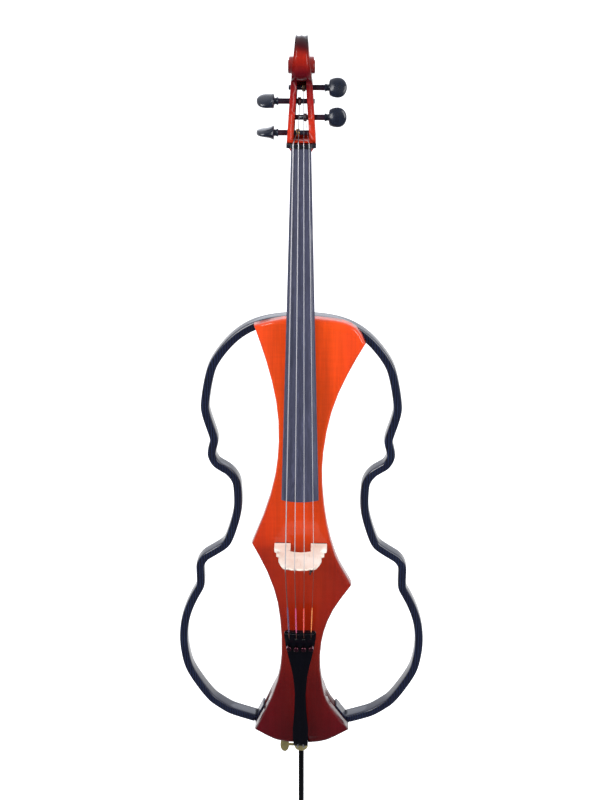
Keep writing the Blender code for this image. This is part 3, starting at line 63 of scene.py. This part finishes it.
# Scales of the patterns
TOW_WIDTH = 2.2 * MM  # one tow of the carbon twill
THREAD_PITCH = 0.6 * MM  # one turn of the silk
BRAID_TURNS = 2600.0  # radians of the tail cord's braid per metre
FINE_GRAIN = (300, 300, 300)  # noise cells per metre on small metal pieces
RIM_MIDDLE = 4 * MM  # X of the line between the core's two redder rims

# Strings
AFTERLENGTH_SHADE_FADE = 12 * MM  # painted shade and a painted reflection of the red core darken the winding over this height below the bridge's top
PEGBOX_SHADE_FADE = 5 * MM  # and painted shade of the pegbox darkens it over this height above the nut
# Painted tones of the strings: their shade and the red core's reflection behind the bridge, and the
# pegbox's shade above the nut
AFTERLENGTH_SHADE_TONE = (0.17, 0.07, 0.06)
PEGBOX_SHADE_TONE = (0.06, 0.05, 0.06)
NUT_REACH = (-1.1 * MM, 0.5 * MM)  # heights round the nut's lower edge that hold one ring of points
BRIDGE_REACH = (-3 * MM, 0.0)  # likewise below the bridge's middle
BAR_REACH = (-2.5 * MM, 2 * MM)  # and round the top of the tailpiece's bar

# Surfaces
WELD = 2e-6  # split CAD vertices nearer than this become one
FACET_ANGLE = 50.0  # triangles flatter than this join before a surface is subdivided
FLAT_ANGLE = 0.4  # faces flatter than this merge before an edge is eased
EASED_ANGLE = 35.0  # edges sharper than this are eased
SMOOTH_ANGLE = 40.0  # a new piece's edges flatter than this shade smooth

# Silk on the strings
SILK_START = 5 * MM  # above the tailpiece's bar
SILK_END = 62 * MM  # likewise
SILK_THICKNESS = 0.5 * MM
SILK_RINGS = 18
SILK_SIDES = 12

# Room
FLOOR_HALF = 40.0  # half the width of the floor
FLOOR_FADE = (-0.3, 0.6)  # the floor's glow comes in behind the instrument, over this stretch of Y
SKY_FADE = {"From Min": -0.6, "From Max": 0.3, "To Min": 0.1, "To Max": 1.05}
SKY_STRENGTH = 0.75
SKY_TINT = (0.92, 0.94, 1.0, 1.0)
LAMP_AIM = (0, 0, 0.9)
LAMPS = {
    "key": {"place": (-2.2, -2.6, 3.0), "size": (1.6, 2.4), "power": 110},
    "fill": {"place": (2.6, -2.0, 2.0), "size": (1.4, 2.6), "power": 70},
    "back": {"place": (0.3, 3.4, 3.0), "size": (4.0, 2.0), "power": 26, "tint": (0.86, 0.9, 1.0)},
}
CAMERA_PLACE = (0.05644, -2.2158, 1.87189)
CAMERA_PITCH = -21.796  # degrees
CAMERA_YAW = -1.517
CAMERA_LENS = 64.1  # millimetres, as is the sensor
CAMERA_SENSOR = 36.0
CAMERA_REACH = 200.0


# ---------------------------------------------------------------- node helpers

class Finish:
    """A Principled material and short calls that add nodes to it."""

    def __init__(self, name, **values):
        self.material = bpy.data.materials.new(name)
        self.material.use_nodes = True
        self.tree = self.material.node_tree
        self.shader = self.tree.nodes["Principled BSDF"]
        for key, value in values.items():
            socket = self.shader.inputs[key.replace("_", " ").title().replace("Ior", "IOR")]
            socket.default_value = value

    def add(self, kind, inputs=None, **settings):
        """A new shader node, its inputs linked to sockets or set to values."""
        node = self.tree.nodes.new("ShaderNode" + kind)
        for key, value in settings.items():
            setattr(node, key, value)
        for key, value in (inputs or {}).items():
            socket = node.inputs[key]
            if isinstance(value, bpy.types.NodeSocket):
                self.tree.links.new(value, socket)
            else:
                socket.default_value = value
        return node

    def place(self):
        """Position in metres in the object's own frame."""
        return self.add("TexCoord").outputs["Object"]

    def place_axes(self):
        """That position as separate X, Y and Z."""
        return self.add("SeparateXYZ", {"Vector": self.place()}).outputs

    def stretched(self, scale, turn=(0, 0, 0)):
        """Position with a scale of its own along each axis."""
        node = self.add("Mapping", {"Vector": self.place(), "Scale": scale, "Rotation": turn})
        return node.outputs["Vector"]

    def noise(self, scale, detail=4.0, rough=0.55, warp=0.0):
        """Noise from 0 to 1, scale cells per metre along each axis."""
        node = self.add("TexNoise", {
            "Vector": self.stretched(scale), "Scale": 1.0, "Detail": detail, "Roughness": rough,
            "Distortion": warp,
        })
        return node.outputs["Fac"]

    def maths(self, operation, a, b=0.5, clamp=False):
        """One sum on a and b; b is left alone by the operations that take one value."""
        node = self.add("Math", {0: a, 1: b}, operation=operation, use_clamp=clamp)
        return node.outputs[0]

    def spread(self, value, low, high, first=0.0, last=1.0):
        """The value's stretch from low to high, mapped to first to last and held beyond it."""
        node = self.add("MapRange", {
            "Value": value, "From Min": low, "From Max": high, "To Min": first, "To Max": last,
        })
        return node.outputs["Result"]

    def ramp(self, value, stops):
        """Eased steps through tones, each given as (value, tone)."""
        node = self.add("ValToRGB", {"Fac": value})
        band = node.color_ramp
        band.interpolation = "EASE"
        for place, tone in stops[1:-1]:
            band.elements.new(place).color = (*tone, 1.0)
        ends = (band.elements[0], band.elements[-1])
        for end, (place, tone) in zip(ends, (stops[0], stops[-1])):
            end.position = place
            end.color = (*tone, 1.0)
        return node.outputs["Color"]

    def mix(self, share, first, second, blend="MIX"):
        """The first tone blended with the second by a share; each may be a socket or a value."""
        node = self.add("Mix", data_type="RGBA", blend_type=blend)
        for index, value in ((0, share), (6, first), (7, second)):
            socket = node.inputs[index]
            if isinstance(value, bpy.types.NodeSocket):
                self.tree.links.new(value, socket)
            elif index:
                socket.default_value = (*value, 1.0)
            else:
                socket.default_value = value
        return node.outputs[2]

    def shaded(self, tone, level):
        """The tone made darker or lighter by a factor."""
        grey = self.add("CombineColor", {0: level, 1: level, 2: level}).outputs[0]
        return self.mix(1.0, tone, grey, "MULTIPLY")

    def bump(self, height, strength, distance):
        """Raises the surface by a height, distance metres for each unit."""
        node = self.add("Bump", {"Height": height, "Strength": strength, "Distance": distance})
        self.feed("Normal", node.outputs["Normal"])

    def feed(self, name, socket):
        """Links a socket to one of the shader's inputs."""
        self.tree.links.new(socket, self.shader.inputs[name])


def colour(red, green, blue):
    """A colour given as a screen shows it, turned into the linear values that a shader takes."""
    return tuple(((v / 255 + 0.055) / 1.055) ** 2.4 if v > 10 else v / 255 / 12.92
                 for v in (red, green, blue))


# ---------------------------------------------------------------- finishes

def wood_varnish(name, stops, low, high, grain=1.0, flame=0.0, rim=None, coat=0.8):
    """Clear varnish over stained maple, its tone changing with height from low to high: the stain,
    and in the neck's stops also painted shade.

    rim is the distance from the middle where the stain starts to redden, and where it is full.
    """
    made = Finish(
        name, roughness=0.4, specular_ior_level=0.12, coat_weight=coat, coat_roughness=0.05)
    place = made.place_axes()
    cloud = made.noise((9, 9, 6), 3)
    share = made.spread(place["Z"], low, high)
    share = made.maths("ADD", share, made.spread(cloud, 0, 1, -0.05, 0.05), clamp=True)
    # the ramp gives the stain; in the neck's stops it also holds painted shade
    stain = made.ramp(share, stops)
    fine = made.noise((700, 500, 14), 5, 0.6, 0.2)
    broad = made.noise((110, 80, 5), 3, 0.5, 0.5)
    lines = made.maths("MULTIPLY", fine, broad)
    dark = made.spread(lines, 0.12, 0.42, 1.0 - 0.26 * grain, 1.06)
    tone = made.shaded(stain, dark)
    if rim:
        away = made.maths("ABSOLUTE", made.maths("ADD", place["X"], -RIM_MIDDLE))
        redder = made.mix(1.0, tone, (0.88, 0.62, 4.0), "MULTIPLY")
        tone = made.mix(made.spread(away, *rim, 0.0, 0.6), tone, redder)
    if flame:
        bands = made.noise((16, 16, 190), 2, 0.5, 0.6)
        glow = made.spread(bands, 0.35, 0.65, 1.0 - flame, 1.0 + flame)
        tone = made.shaded(tone, glow)
    made.feed("Base Color", tone)
    made.bump(fine, 0.05, 0.0002)
    wear = made.noise((60, 60, 25), 4)
    made.feed("Roughness", made.spread(wear, 0.3, 0.7, 0.30, 0.42))
    return made


def carbon_weave():
    """Lacquered twill: two sets of tows at right angles, each catching the light its own way, one
    set given a lighter colour as painted sheen.
    """
    made = Finish(
        "carbon_twill", roughness=0.36, specular_ior_level=0.3, coat_weight=0.9,
        coat_roughness=0.04)
    place = made.place_axes()
    flat = made.maths("ADD", place["X"], place["Y"])
    warp = made.maths("DIVIDE", made.maths("ADD", flat, place["Z"]), TOW_WIDTH)
    weft = made.maths("DIVIDE", made.maths("SUBTRACT", flat, place["Z"]), TOW_WIDTH)
    count = made.maths("ADD", made.maths("FLOOR", warp), made.maths("FLOOR", weft))
    step = made.maths("FRACT", made.maths("DIVIDE", count, 4.0))
    over = made.maths("GREATER_THAN", step, 0.4)
    first = made.maths("SINE", made.maths("MULTIPLY", warp, math.pi))
    second = made.maths("SINE", made.maths("MULTIPLY", weft, math.pi))
    upper = made.add("Mix", {0: over, 2: first, 3: second}, data_type="FLOAT").outputs[0]
    crown = made.maths("ABSOLUTE", upper)
    # the lighter navy of one set of tows is painted sheen
    tint = made.mix(over, colour(8, 11, 24), colour(24, 34, 62))
    cloud = made.noise((30, 30, 30), 3)
    tint = made.mix(made.spread(cloud, 0.35, 0.75, 0.0, 0.6), tint, colour(12, 14, 34))
    made.feed("Base Color", tint)
    made.feed("Roughness", made.spread(crown, 0, 1, 0.46, 0.28))
    made.bump(crown, 0.12, 0.00015)
    return made


def black_wood(name, dark, light, rough, coat, gloss=0.5):
    """Oiled ebony: nearly black, with short grey pores along the grain."""
    made = Finish(
        name, roughness=rough, specular_ior_level=gloss, coat_weight=coat, coat_roughness=0.2)
    pores = made.noise((900, 700, 30), 4, 0.6)
    streaks = made.noise((160, 120, 4), 4, 0.55, 0.3)
    share = made.maths("MULTIPLY", made.spread(pores, 0.35, 0.75), made.spread(streaks, 0.3, 0.7))
    made.feed("Base Color", made.mix(share, dark, light))
    made.feed("Roughness", made.spread(pores, 0.3, 0.7, rough + 0.07, rough - 0.05))
    made.bump(pores, 0.06, 0.0001)
    return made


def bare_maple():
    """Unvarnished maple with flecks along the grain and rays across it."""
    made = Finish("bridge_maple", roughness=0.5, coat_weight=0.12, coat_roughness=0.3)
    flecks = made.noise((420, 60, 60), 3, 0.5)
    rays = made.noise((60, 900, 200), 3, 0.6, 0.4)
    cloud = made.noise((40, 40, 40), 2)
    tone = made.ramp(cloud, [(0.3, colour(232, 216, 200)), (0.7, colour(244, 234, 222))])
    tone = made.mix(made.spread(flecks, 0.56, 0.72, 0, 0.45), tone, colour(206, 180, 156))
    tone = made.mix(made.spread(rays, 0.6, 0.75, 0, 0.3), tone, colour(214, 190, 166))
    made.feed("Base Color", tone)
    made.feed("Roughness", made.spread(rays, 0.3, 0.7, 0.42, 0.58))
    made.bump(flecks, 0.08, 0.0001)
    return made


def metal(name, tint, rough, brushed=FINE_GRAIN, wear=0.08, metallic=1.0):
    """Metal with fine scratches and duller patches."""
    made = Finish(name, metallic=metallic, roughness=rough)
    lines = made.noise(brushed, 3, 0.6)
    cloud = made.noise((90, 90, 90), 4)
    made.feed("Base Color", made.mix(
        made.spread(cloud, 0.4, 0.8, 0, 0.5), tint, tuple(v * 0.72 for v in tint)))
    made.feed("Roughness", made.spread(lines, 0.3, 0.7, rough - wear / 2, rough + wear))
    made.bump(lines, 0.04, 0.00005)
    return made


def wound_metal(name, tint, pitch):
    """A string's flat wire winding, with painted shade and a painted reflection of the red core
    behind the bridge, and painted shade of the pegbox above the nut.
    """
    made = Finish(name, metallic=0.55, roughness=0.4, specular_ior_level=0.8)
    height = made.place_axes()["Z"]
    turn = made.maths("SINE", made.maths("MULTIPLY", height, 2 * math.pi / pitch))
    cloud = made.noise((20, 20, 14), 3)
    # the grooves between turns are painted darker, as painted shade
    groove_shade = made.spread(turn, -1, 1, 0.86, 1.0)
    tone = made.mix(made.spread(cloud, 0.3, 0.7), tint, tuple(v * 0.86 for v in tint))
    # below the bridge the winding is painted dark red: its painted shade and painted reflection of
    # the core
    above_afterlength_shade = made.spread(height, BRIDGE_HIGH.z - AFTERLENGTH_SHADE_FADE, BRIDGE_HIGH.z)
    tone = made.mix(above_afterlength_shade, AFTERLENGTH_SHADE_TONE, tone)
    # above the nut the winding is painted dark, as the pegbox's shade
    in_pegbox_shade = made.spread(height, NUT_HIGH.z, NUT_HIGH.z + PEGBOX_SHADE_FADE)
    tone = made.mix(in_pegbox_shade, tone, PEGBOX_SHADE_TONE)
    made.feed("Base Color", made.shaded(tone, groove_shade))
    made.feed("Roughness", made.spread(cloud, 0.3, 0.7, 0.34, 0.46))
    made.bump(turn, 0.1, 0.00002)
    return made


def moulded(name, tint, rough, grain, depth):
    """Plastic or rubber: a fine even grain with faint wear."""
    made = Finish(name, roughness=rough)
    skin = made.noise((grain, grain, grain), 3, 0.6)
    cloud = made.noise((45, 45, 45), 4)
    made.feed("Base Color", made.mix(
        made.spread(cloud, 0.4, 0.75, 0, 0.5), tint, tuple(v * 1.35 + 0.003 for v in tint)))
    made.feed("Roughness", made.spread(cloud, 0.3, 0.7, rough - 0.06, rough + 0.08))
    made.bump(skin, depth, 0.0002)
    return made


def wrapped_thread(name, tint):
    """The dyed silk at a string's end: thread wound in close turns."""
    made = Finish(name, roughness=0.55, sheen_weight=0.4)
    height = made.place_axes()["Z"]
    turn = made.maths("SINE", made.maths("MULTIPLY", height, 2 * math.pi / THREAD_PITCH))
    cloud = made.noise((200, 200, 500), 3)
    made.feed("Base Color", made.mix(
        made.spread(cloud, 0.35, 0.7), tint, tuple(v * 0.6 for v in tint)))
    made.bump(turn, 0.5, 0.0001)
    return made


def braided_cord():
    """The tail cord's braid: two sets of strands that cross."""
    made = Finish("tail_cord_braid", roughness=0.5, sheen_weight=0.3)
    place = made.place_axes()
    along = made.maths("ADD", place["Z"], place["Y"])
    strands = []
    for way in ("ADD", "SUBTRACT"):
        slant = made.maths(way, along, place["X"])
        strands.append(made.maths("SINE", made.maths("MULTIPLY", slant, BRAID_TURNS)))
    braid = made.maths("MAXIMUM", *strands)
    # the strands' crowns are painted lighter and the gaps between them darker, as painted highlight
    # and shade
    made.feed("Base Color", made.mix(
        made.spread(braid, 0, 1), colour(14, 14, 16), colour(46, 46, 52)))
    made.feed("Roughness", made.spread(braid, 0, 1, 0.62, 0.42))
    made.bump(braid, 0.5, 0.0002)
    return made


def circuit_board():
    """Green lacquer with a faint grid of tracks."""
    made = Finish("board_lacquer", roughness=0.35, coat_weight=0.5, coat_roughness=0.1)
    grid = made.add("TexBrick", {
        "Vector": made.stretched((260, 260, 260), (math.pi / 2, 0, 0)), "Scale": 1.0,
        "Mortar Size": 0.03, "Color1": (*colour(12, 74, 40), 1), "Color2": (*colour(18, 92, 48), 1),
        "Mortar": (*colour(60, 140, 80), 1),
    })
    made.feed("Base Color", grid.outputs["Color"])
    made.bump(grid.outputs["Fac"], 0.2, 0.0001)
    return made


# ---------------------------------------------------------------- surfaces

def finer(name, finish, levels=0, sharp=32.0, crease=60.0, ease=0.0, flat=False):
    """A welded copy of a CAD node in its place: smooth, and subdivided or with eased edges.

    levels subdivides it and keeps edges sharper than crease, ease is the width of the eased
    edges, flat merges the triangles of flat faces first, and edges sharper than sharp shade hard.
    """
    work = bmesh.new()
    work.from_mesh(NODES[name].data)
    bmesh.ops.remove_doubles(work, verts=work.verts, dist=WELD)
    if levels:
        bmesh.ops.join_triangles(
            work, faces=work.faces, angle_face_threshold=math.radians(FACET_ANGLE),
            angle_shape_threshold=math.pi, cmp_sharp=False, cmp_materials=False, cmp_seam=False,
            cmp_uvs=False, cmp_vcols=False,
        )
        layer = work.edges.layers.float.new("crease_edge")
        for edge in work.edges:
            if len(edge.link_faces) == 2 and edge.calc_face_angle(0) > math.radians(crease):
                edge[layer] = 1.0
    elif flat:
        bmesh.ops.dissolve_limit(
            work, angle_limit=math.radians(FLAT_ANGLE), verts=work.verts, edges=work.edges)
    bmesh.ops.recalc_face_normals(work, faces=work.faces)
    mesh = bpy.data.meshes.new(name + "_finer")
    work.to_mesh(mesh)
    work.free()
    mesh.shade_smooth()
    mesh.set_sharp_from_angle(angle=math.radians(sharp))
    mesh.materials.append(finish.material)
    made = bpy.data.objects.new(name + "_finer", mesh)
    bpy.context.scene.collection.objects.link(made)
    if levels:
        surface = made.modifiers.new("finer surface", "SUBSURF")
        surface.levels = levels
        surface.render_levels = levels
    if ease:
        bevel = made.modifiers.new("eased edges", "BEVEL")
        bevel.width = ease
        bevel.segments = 2
        bevel.limit_method = "ANGLE"
        bevel.angle_limit = math.radians(EASED_ANGLE)
        bevel.harden_normals = True
    if not levels and not ease:
        made.modifiers.new("even shading", "WEIGHTED_NORMAL").keep_sharp = True
    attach(made, BODY_OF[name])
    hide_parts(name)


def mesh_piece(name, points, faces, finish, body):
    """A new piece with its own mesh, riding on a body."""
    mesh = bpy.data.meshes.new(name)
    mesh.from_pydata(points, [], faces)
    work = bmesh.new()
    work.from_mesh(mesh)
    bmesh.ops.recalc_face_normals(work, faces=work.faces)
    work.to_mesh(mesh)
    work.free()
    mesh.shade_smooth()
    mesh.set_sharp_from_angle(angle=math.radians(SMOOTH_ANGLE))
    mesh.materials.append(finish.material)
    made = bpy.data.objects.new(name, mesh)
    bpy.context.scene.collection.objects.link(made)
    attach(made, body)


def rings_to_faces(count, sides):
    """Faces of a closed tube made of rings, each with the same number of points."""
    faces = []
    for ring in range(count - 1):
        for side in range(sides):
            across = (side + 1) % sides
            low = ring * sides
            high = low + sides
            faces.append((low + side, low + across, high + across, high + side))
    faces.append(tuple(range(sides)))
    faces.append(tuple(range((count - 1) * sides, count * sides)))
    return faces


def silk_on_string(key, finish):
    """The silk round a string above the tailpiece, thinner towards its two ends."""
    low, high = string_straight(key)
    radius = string_radius(key)
    z_low = BAR_HIGH.z + SILK_START
    z_high = BAR_HIGH.z + SILK_END
    points = []
    for ring in range(SILK_RINGS):
        share = ring / (SILK_RINGS - 1)
        z = z_low + (z_high - z_low) * share
        middle = low.lerp(high, (z - low.z) / (high.z - low.z))
        taper = min(1.0, 6 * min(share, 1 - share) + 0.2)
        size = radius + SILK_THICKNESS * taper
        for side in range(SILK_SIDES):
            angle = 2 * math.pi * side / SILK_SIDES
            points.append(middle + Vector((math.cos(angle), math.sin(angle), 0)) * size)
    faces = rings_to_faces(SILK_RINGS, SILK_SIDES)
    mesh_piece("string_silk_" + key, points, faces, finish, "instrument")


def string_points(key, z, reach):
    """Points of a string's outline whose height lies within reach of z."""
    points = [v.co for v in NODES["string_" + key].data.vertices]
    return [p for p in points if z + reach[0] < p.z < z + reach[1]]


def string_radius(key):
    """Radius of a string: half the width of its ring of points at the nut's lower edge."""
    across = [p.x for p in string_points(key, NUT_LOW.z, NUT_REACH)]
    return (max(across) - min(across)) / 2


def string_straight(key):
    """Two points on the string's stretch from the tailpiece's edge up to the bridge."""
    low = string_points(key, BAR_HIGH.z, BAR_REACH)
    high = string_points(key, (BRIDGE_LOW.z + BRIDGE_HIGH.z) / 2, BRIDGE_REACH)
    return (sum(low, Vector()) / len(low), sum(high, Vector()) / len(high))


# ---------------------------------------------------------------- finishes on the CAD pieces

FRONT = wood_varnish(
    "core_front_varnish",
    [(0.0, colour(76, 1, 4)), (0.14, colour(94, 5, 4)), (0.3, colour(134, 25, 3)),
     (0.43, colour(150, 34, 3)), (0.56, colour(198, 56, 2)), (0.75, colour(228, 72, 3)),
     (1.0, colour(236, 78, 8))],
    CORE_LOW.z, CORE_HIGH.z, grain=0.7, flame=0.03, rim=(22 * MM, 75 * MM),
)
BACK = wood_varnish(
    "core_back_varnish",
    [(0.0, colour(64, 8, 10)), (0.5, colour(120, 26, 14)), (1.0, colour(160, 42, 24))],
    CORE_LOW.z, CORE_HIGH.z, grain=0.8, flame=0.06,
)
# The neck's stops darken to a band round 0.89, painted shade of the pegbox's throat below the
# scroll, and darken again to near black at the scroll's top.
HEAD = wood_varnish(
    "neck_varnish",
    [(0.0, colour(190, 52, 16)), (0.5, colour(190, 50, 16)), (0.76, colour(184, 40, 14)),
     (0.82, colour(150, 18, 14)), (0.89, colour(84, 1, 14)), (0.945, colour(150, 26, 10)),
     (0.98, colour(54, 3, 12)), (1.0, colour(20, 2, 8))],
    NECK_LOW.z, NECK_HIGH.z, grain=0.8, flame=0.08, coat=0.3,
)
CARBON = carbon_weave()
# The fingerboard's blue-grey, far lighter than the other ebony, is painted sheen of the studio
# light on satin ebony.
BOARD_WOOD_SHEEN = black_wood(
    "ebony_fingerboard_sheen", colour(52, 54, 74), colour(84, 86, 112), rough=0.42, coat=0.3)
NUT_WOOD = black_wood("ebony_nut", colour(14, 13, 22), colour(34, 32, 46), rough=0.32, coat=0.4)
PEG_WOOD = black_wood("ebony_pegs", colour(12, 18, 32), colour(30, 40, 62), rough=0.3, coat=0.5)
TAIL_WOOD = black_wood(
    "ebony_tailpiece", colour(2, 2, 8), colour(7, 7, 18), rough=0.4, coat=0.1, gloss=0.2)
MAPLE = bare_maple()
WINDING = {
    "c": wound_metal("string_winding_tungsten", (0.66, 0.65, 0.68), pitch=0.45 * MM),
    "g": wound_metal("string_winding_dark", (0.74, 0.73, 0.76), pitch=0.4 * MM),
    "d": wound_metal("string_winding_chrome", (0.82, 0.82, 0.86), pitch=0.35 * MM),
    "a": wound_metal("string_winding_steel", (0.88, 0.88, 0.90), pitch=0.3 * MM),
}
COIL = {
    "c": metal("gilt_wire", (0.66, 0.42, 0.10), rough=0.34),
    "g": metal("coiled_wire_dark", (0.16, 0.07, 0.08), rough=0.34),
    "d": metal("coiled_wire_gilt", (0.30, 0.20, 0.10), rough=0.34),
    "a": metal("coiled_wire_steel", (0.24, 0.22, 0.24), rough=0.34),
}
BLACK_METAL = metal("black_metal", (0.035, 0.037, 0.045), rough=0.32)
# The maroon of the fine tuner screws is a painted reflection of the red core.
TUNER_METAL_RED_REFLECTION = metal("tuner_metal_red_reflection", (0.16, 0.05, 0.075), rough=0.2)
PIN_BLACK = metal("endpin_black", (0.03, 0.03, 0.034), rough=0.28, brushed=(500, 500, 20))
CHROME = metal(
    "polished_metal", (0.72, 0.72, 0.76), rough=0.14, brushed=(400, 400, 400), wear=0.05)
BRASS = metal("worn_brass", colour(176, 164, 112), rough=0.34, wear=0.14, metallic=0.7)
RUBBER = moulded("endpin_rubber", colour(22, 22, 23), rough=0.75, grain=500, depth=0.2)
PLASTIC = moulded("black_plastic", colour(24, 24, 27), rough=0.42, grain=1400, depth=0.15)
SLEEVE = moulded("battery_sleeve", colour(64, 66, 74), rough=0.3, grain=1400, depth=0.03)
CIRCUIT = circuit_board()
TAIL_CORD = braided_cord()

FINER = {
    "body_front": (FRONT, {"sharp": 40.0}),
    "body_back": (BACK, {"sharp": 40.0}),
    "neck_and_scroll": (HEAD, {"sharp": 40.0}),
    "frame_flange_left": (CARBON, {"ease": 0.6 * MM, "flat": True}),
    "frame_flange_right": (CARBON, {"ease": 0.6 * MM, "flat": True}),
    "fingerboard": (BOARD_WOOD_SHEEN, {}),
    "nut": (NUT_WOOD, {"ease": 0.5 * MM, "flat": True}),
    "tailpiece": (TAIL_WOOD, {}),
    "saddle": (TAIL_WOOD, {"ease": 0.6 * MM, "flat": True}),
    "endpin_plug": (TAIL_WOOD, {}),
    "bridge": (MAPLE, {"sharp": 38.0}),
    "string_bar": (BLACK_METAL, {"levels": 1}),
    "pickup_bass": (BLACK_METAL, {"ease": 0.3 * MM, "flat": True}),
    "pickup_treble": (BLACK_METAL, {"ease": 0.3 * MM, "flat": True}),
    "endpin_rod": (PIN_BLACK, {"sharp": 40.0}),
    "endpin_spike": (CHROME, {}),
    "tuner_pin": (CHROME, {"sharp": 40.0}),
    "output_jack": (CHROME, {}),
    "headphone_jack": (CHROME, {}),
    "endpin_collar": (BRASS, {}),
    "endpin_thumbscrew": (BRASS, {}),
    "rubber_tip": (RUBBER, {}),
    "electronics_cover": (PLASTIC, {"ease": 0.4 * MM, "flat": True}),
    "battery_door": (PLASTIC, {"ease": 0.4 * MM, "flat": True}),
    "volume_knob": (PLASTIC, {}),
    "bass_knob": (PLASTIC, {}),
    "treble_knob": (PLASTIC, {}),
    "pickup_lead": (PLASTIC, {"levels": 1}),
    "battery": (SLEEVE, {"ease": 0.8 * MM, "flat": True}),
    "preamp_board": (CIRCUIT, {"ease": 0.2 * MM, "flat": True}),
    "tailgut": (TAIL_CORD, {"levels": 1}),
}
for side in ("left", "right"):
    FINER["frame_" + side] = (CARBON, {"levels": 2})
for number in range(1, 5):
    FINER[f"cover_screw_{number}"] = (CHROME, {})
for key in STRING_KEYS:
    FINER["peg_" + key] = (PEG_WOOD, {"levels": 1, "crease": 75.0})
    FINER["string_" + key] = (WINDING[key], {"sharp": 60.0})
    FINER["string_winding_" + key] = (COIL[key], {"sharp": 70.0})
    FINER["fine_tuner_screw_" + key] = (TUNER_METAL_RED_REFLECTION, {})
    FINER["fine_tuner_lever_" + key] = (BLACK_METAL, {"ease": 0.3 * MM, "flat": True})
for name, (finish, how) in FINER.items():
    finer(name, finish, **how)

# ---------------------------------------------------------------- small trim

SILKS = {"c": (74, 16, 84), "g": (206, 24, 112), "d": (250, 66, 46), "a": (248, 132, 20)}
for key, tint in SILKS.items():
    silk_on_string(key, wrapped_thread("silk_" + key, colour(*tint)))

# ---------------------------------------------------------------- room, light and camera

floor_finish = Finish("studio_floor", roughness=0.9, specular_ior_level=0.0)
soft = floor_finish.noise((2, 2, 2), 2)
pale = floor_finish.mix(soft, (0.62, 0.62, 0.64), (0.66, 0.66, 0.68))
rays = floor_finish.add("LightPath").outputs
behind = floor_finish.spread(floor_finish.place_axes()["Y"], *FLOOR_FADE)
unlit = floor_finish.maths("MULTIPLY", rays["Is Glossy Ray"], 0.93)
floor_finish.feed("Base Color", floor_finish.mix(unlit, pale, (0.02, 0.02, 0.03)))
floor_finish.shader.inputs["Emission Color"].default_value = (1, 1, 1, 1)
glow = floor_finish.maths("MULTIPLY", rays["Is Glossy Ray"], behind)
floor_finish.feed("Emission Strength", floor_finish.maths("MAXIMUM", rays["Is Camera Ray"], glow))
corners = [(-1, -1), (1, -1), (1, 1), (-1, 1)]
floor_mesh = bpy.data.meshes.new("floor")
floor_mesh.from_pydata(
    [(x * FLOOR_HALF, y * FLOOR_HALF, 0) for x, y in corners], [], [(0, 1, 2, 3)])
floor_mesh.materials.append(floor_finish.material)
floor = bpy.data.objects.new("floor", floor_mesh)
bpy.context.scene.collection.objects.link(floor)

world = bpy.data.worlds.new("studio")
world.use_nodes = True
sky = world.node_tree
dome = sky.nodes["Background"]
dome.inputs["Color"].default_value = SKY_TINT
way = sky.nodes.new("ShaderNodeSeparateXYZ")
sky.links.new(sky.nodes.new("ShaderNodeTexCoord").outputs["Generated"], way.inputs[0])
front_to_back = sky.nodes.new("ShaderNodeMapRange")
for socket, value in SKY_FADE.items():
    front_to_back.inputs[socket].default_value = value
sky.links.new(way.outputs["Y"], front_to_back.inputs["Value"])
ray = sky.nodes.new("ShaderNodeLightPath")
strength = sky.nodes.new("ShaderNodeMix")
strength.inputs[2].default_value = SKY_STRENGTH
sky.links.new(ray.outputs["Is Glossy Ray"], strength.inputs[0])
sky.links.new(front_to_back.outputs[0], strength.inputs[3])
sky.links.new(strength.outputs[0], dome.inputs["Strength"])
bpy.context.scene.world = world
bpy.context.scene.view_settings.view_transform = "Standard"


def lamp(name, place, size, power, tint=(1, 1, 1)):
    """A soft rectangular lamp aimed at the middle of the instrument."""
    data = bpy.data.lights.new(name, "AREA")
    data.shape = "RECTANGLE"
    data.size, data.size_y = size
    data.energy = power
    data.color = tint
    made = bpy.data.objects.new(name, data)
    bpy.context.scene.collection.objects.link(made)
    made.location = place
    made.rotation_mode = "QUATERNION"
    made.rotation_quaternion = (Vector(LAMP_AIM) - Vector(place)).to_track_quat("-Z", "Y")


for name, how in LAMPS.items():
    lamp(name, **how)

camera_data = bpy.data.cameras.new("camera")
camera_data.sensor_width = CAMERA_SENSOR
camera_data.lens = CAMERA_LENS
camera_data.clip_end = CAMERA_REACH
camera = bpy.data.objects.new("camera", camera_data)
bpy.context.scene.collection.objects.link(camera)
pitch = math.radians(CAMERA_PITCH)
yaw = math.radians(CAMERA_YAW)
forward = Vector((
    math.sin(yaw) * math.cos(pitch), math.cos(yaw) * math.cos(pitch), math.sin(pitch)))
right = Vector((math.cos(yaw), -math.sin(yaw), 0))
up = right.cross(forward)
facing = Matrix((right, up, -forward)).transposed().to_4x4()
camera.matrix_world = Matrix.Translation(CAMERA_PLACE) @ facing
bpy.context.scene.camera = camera
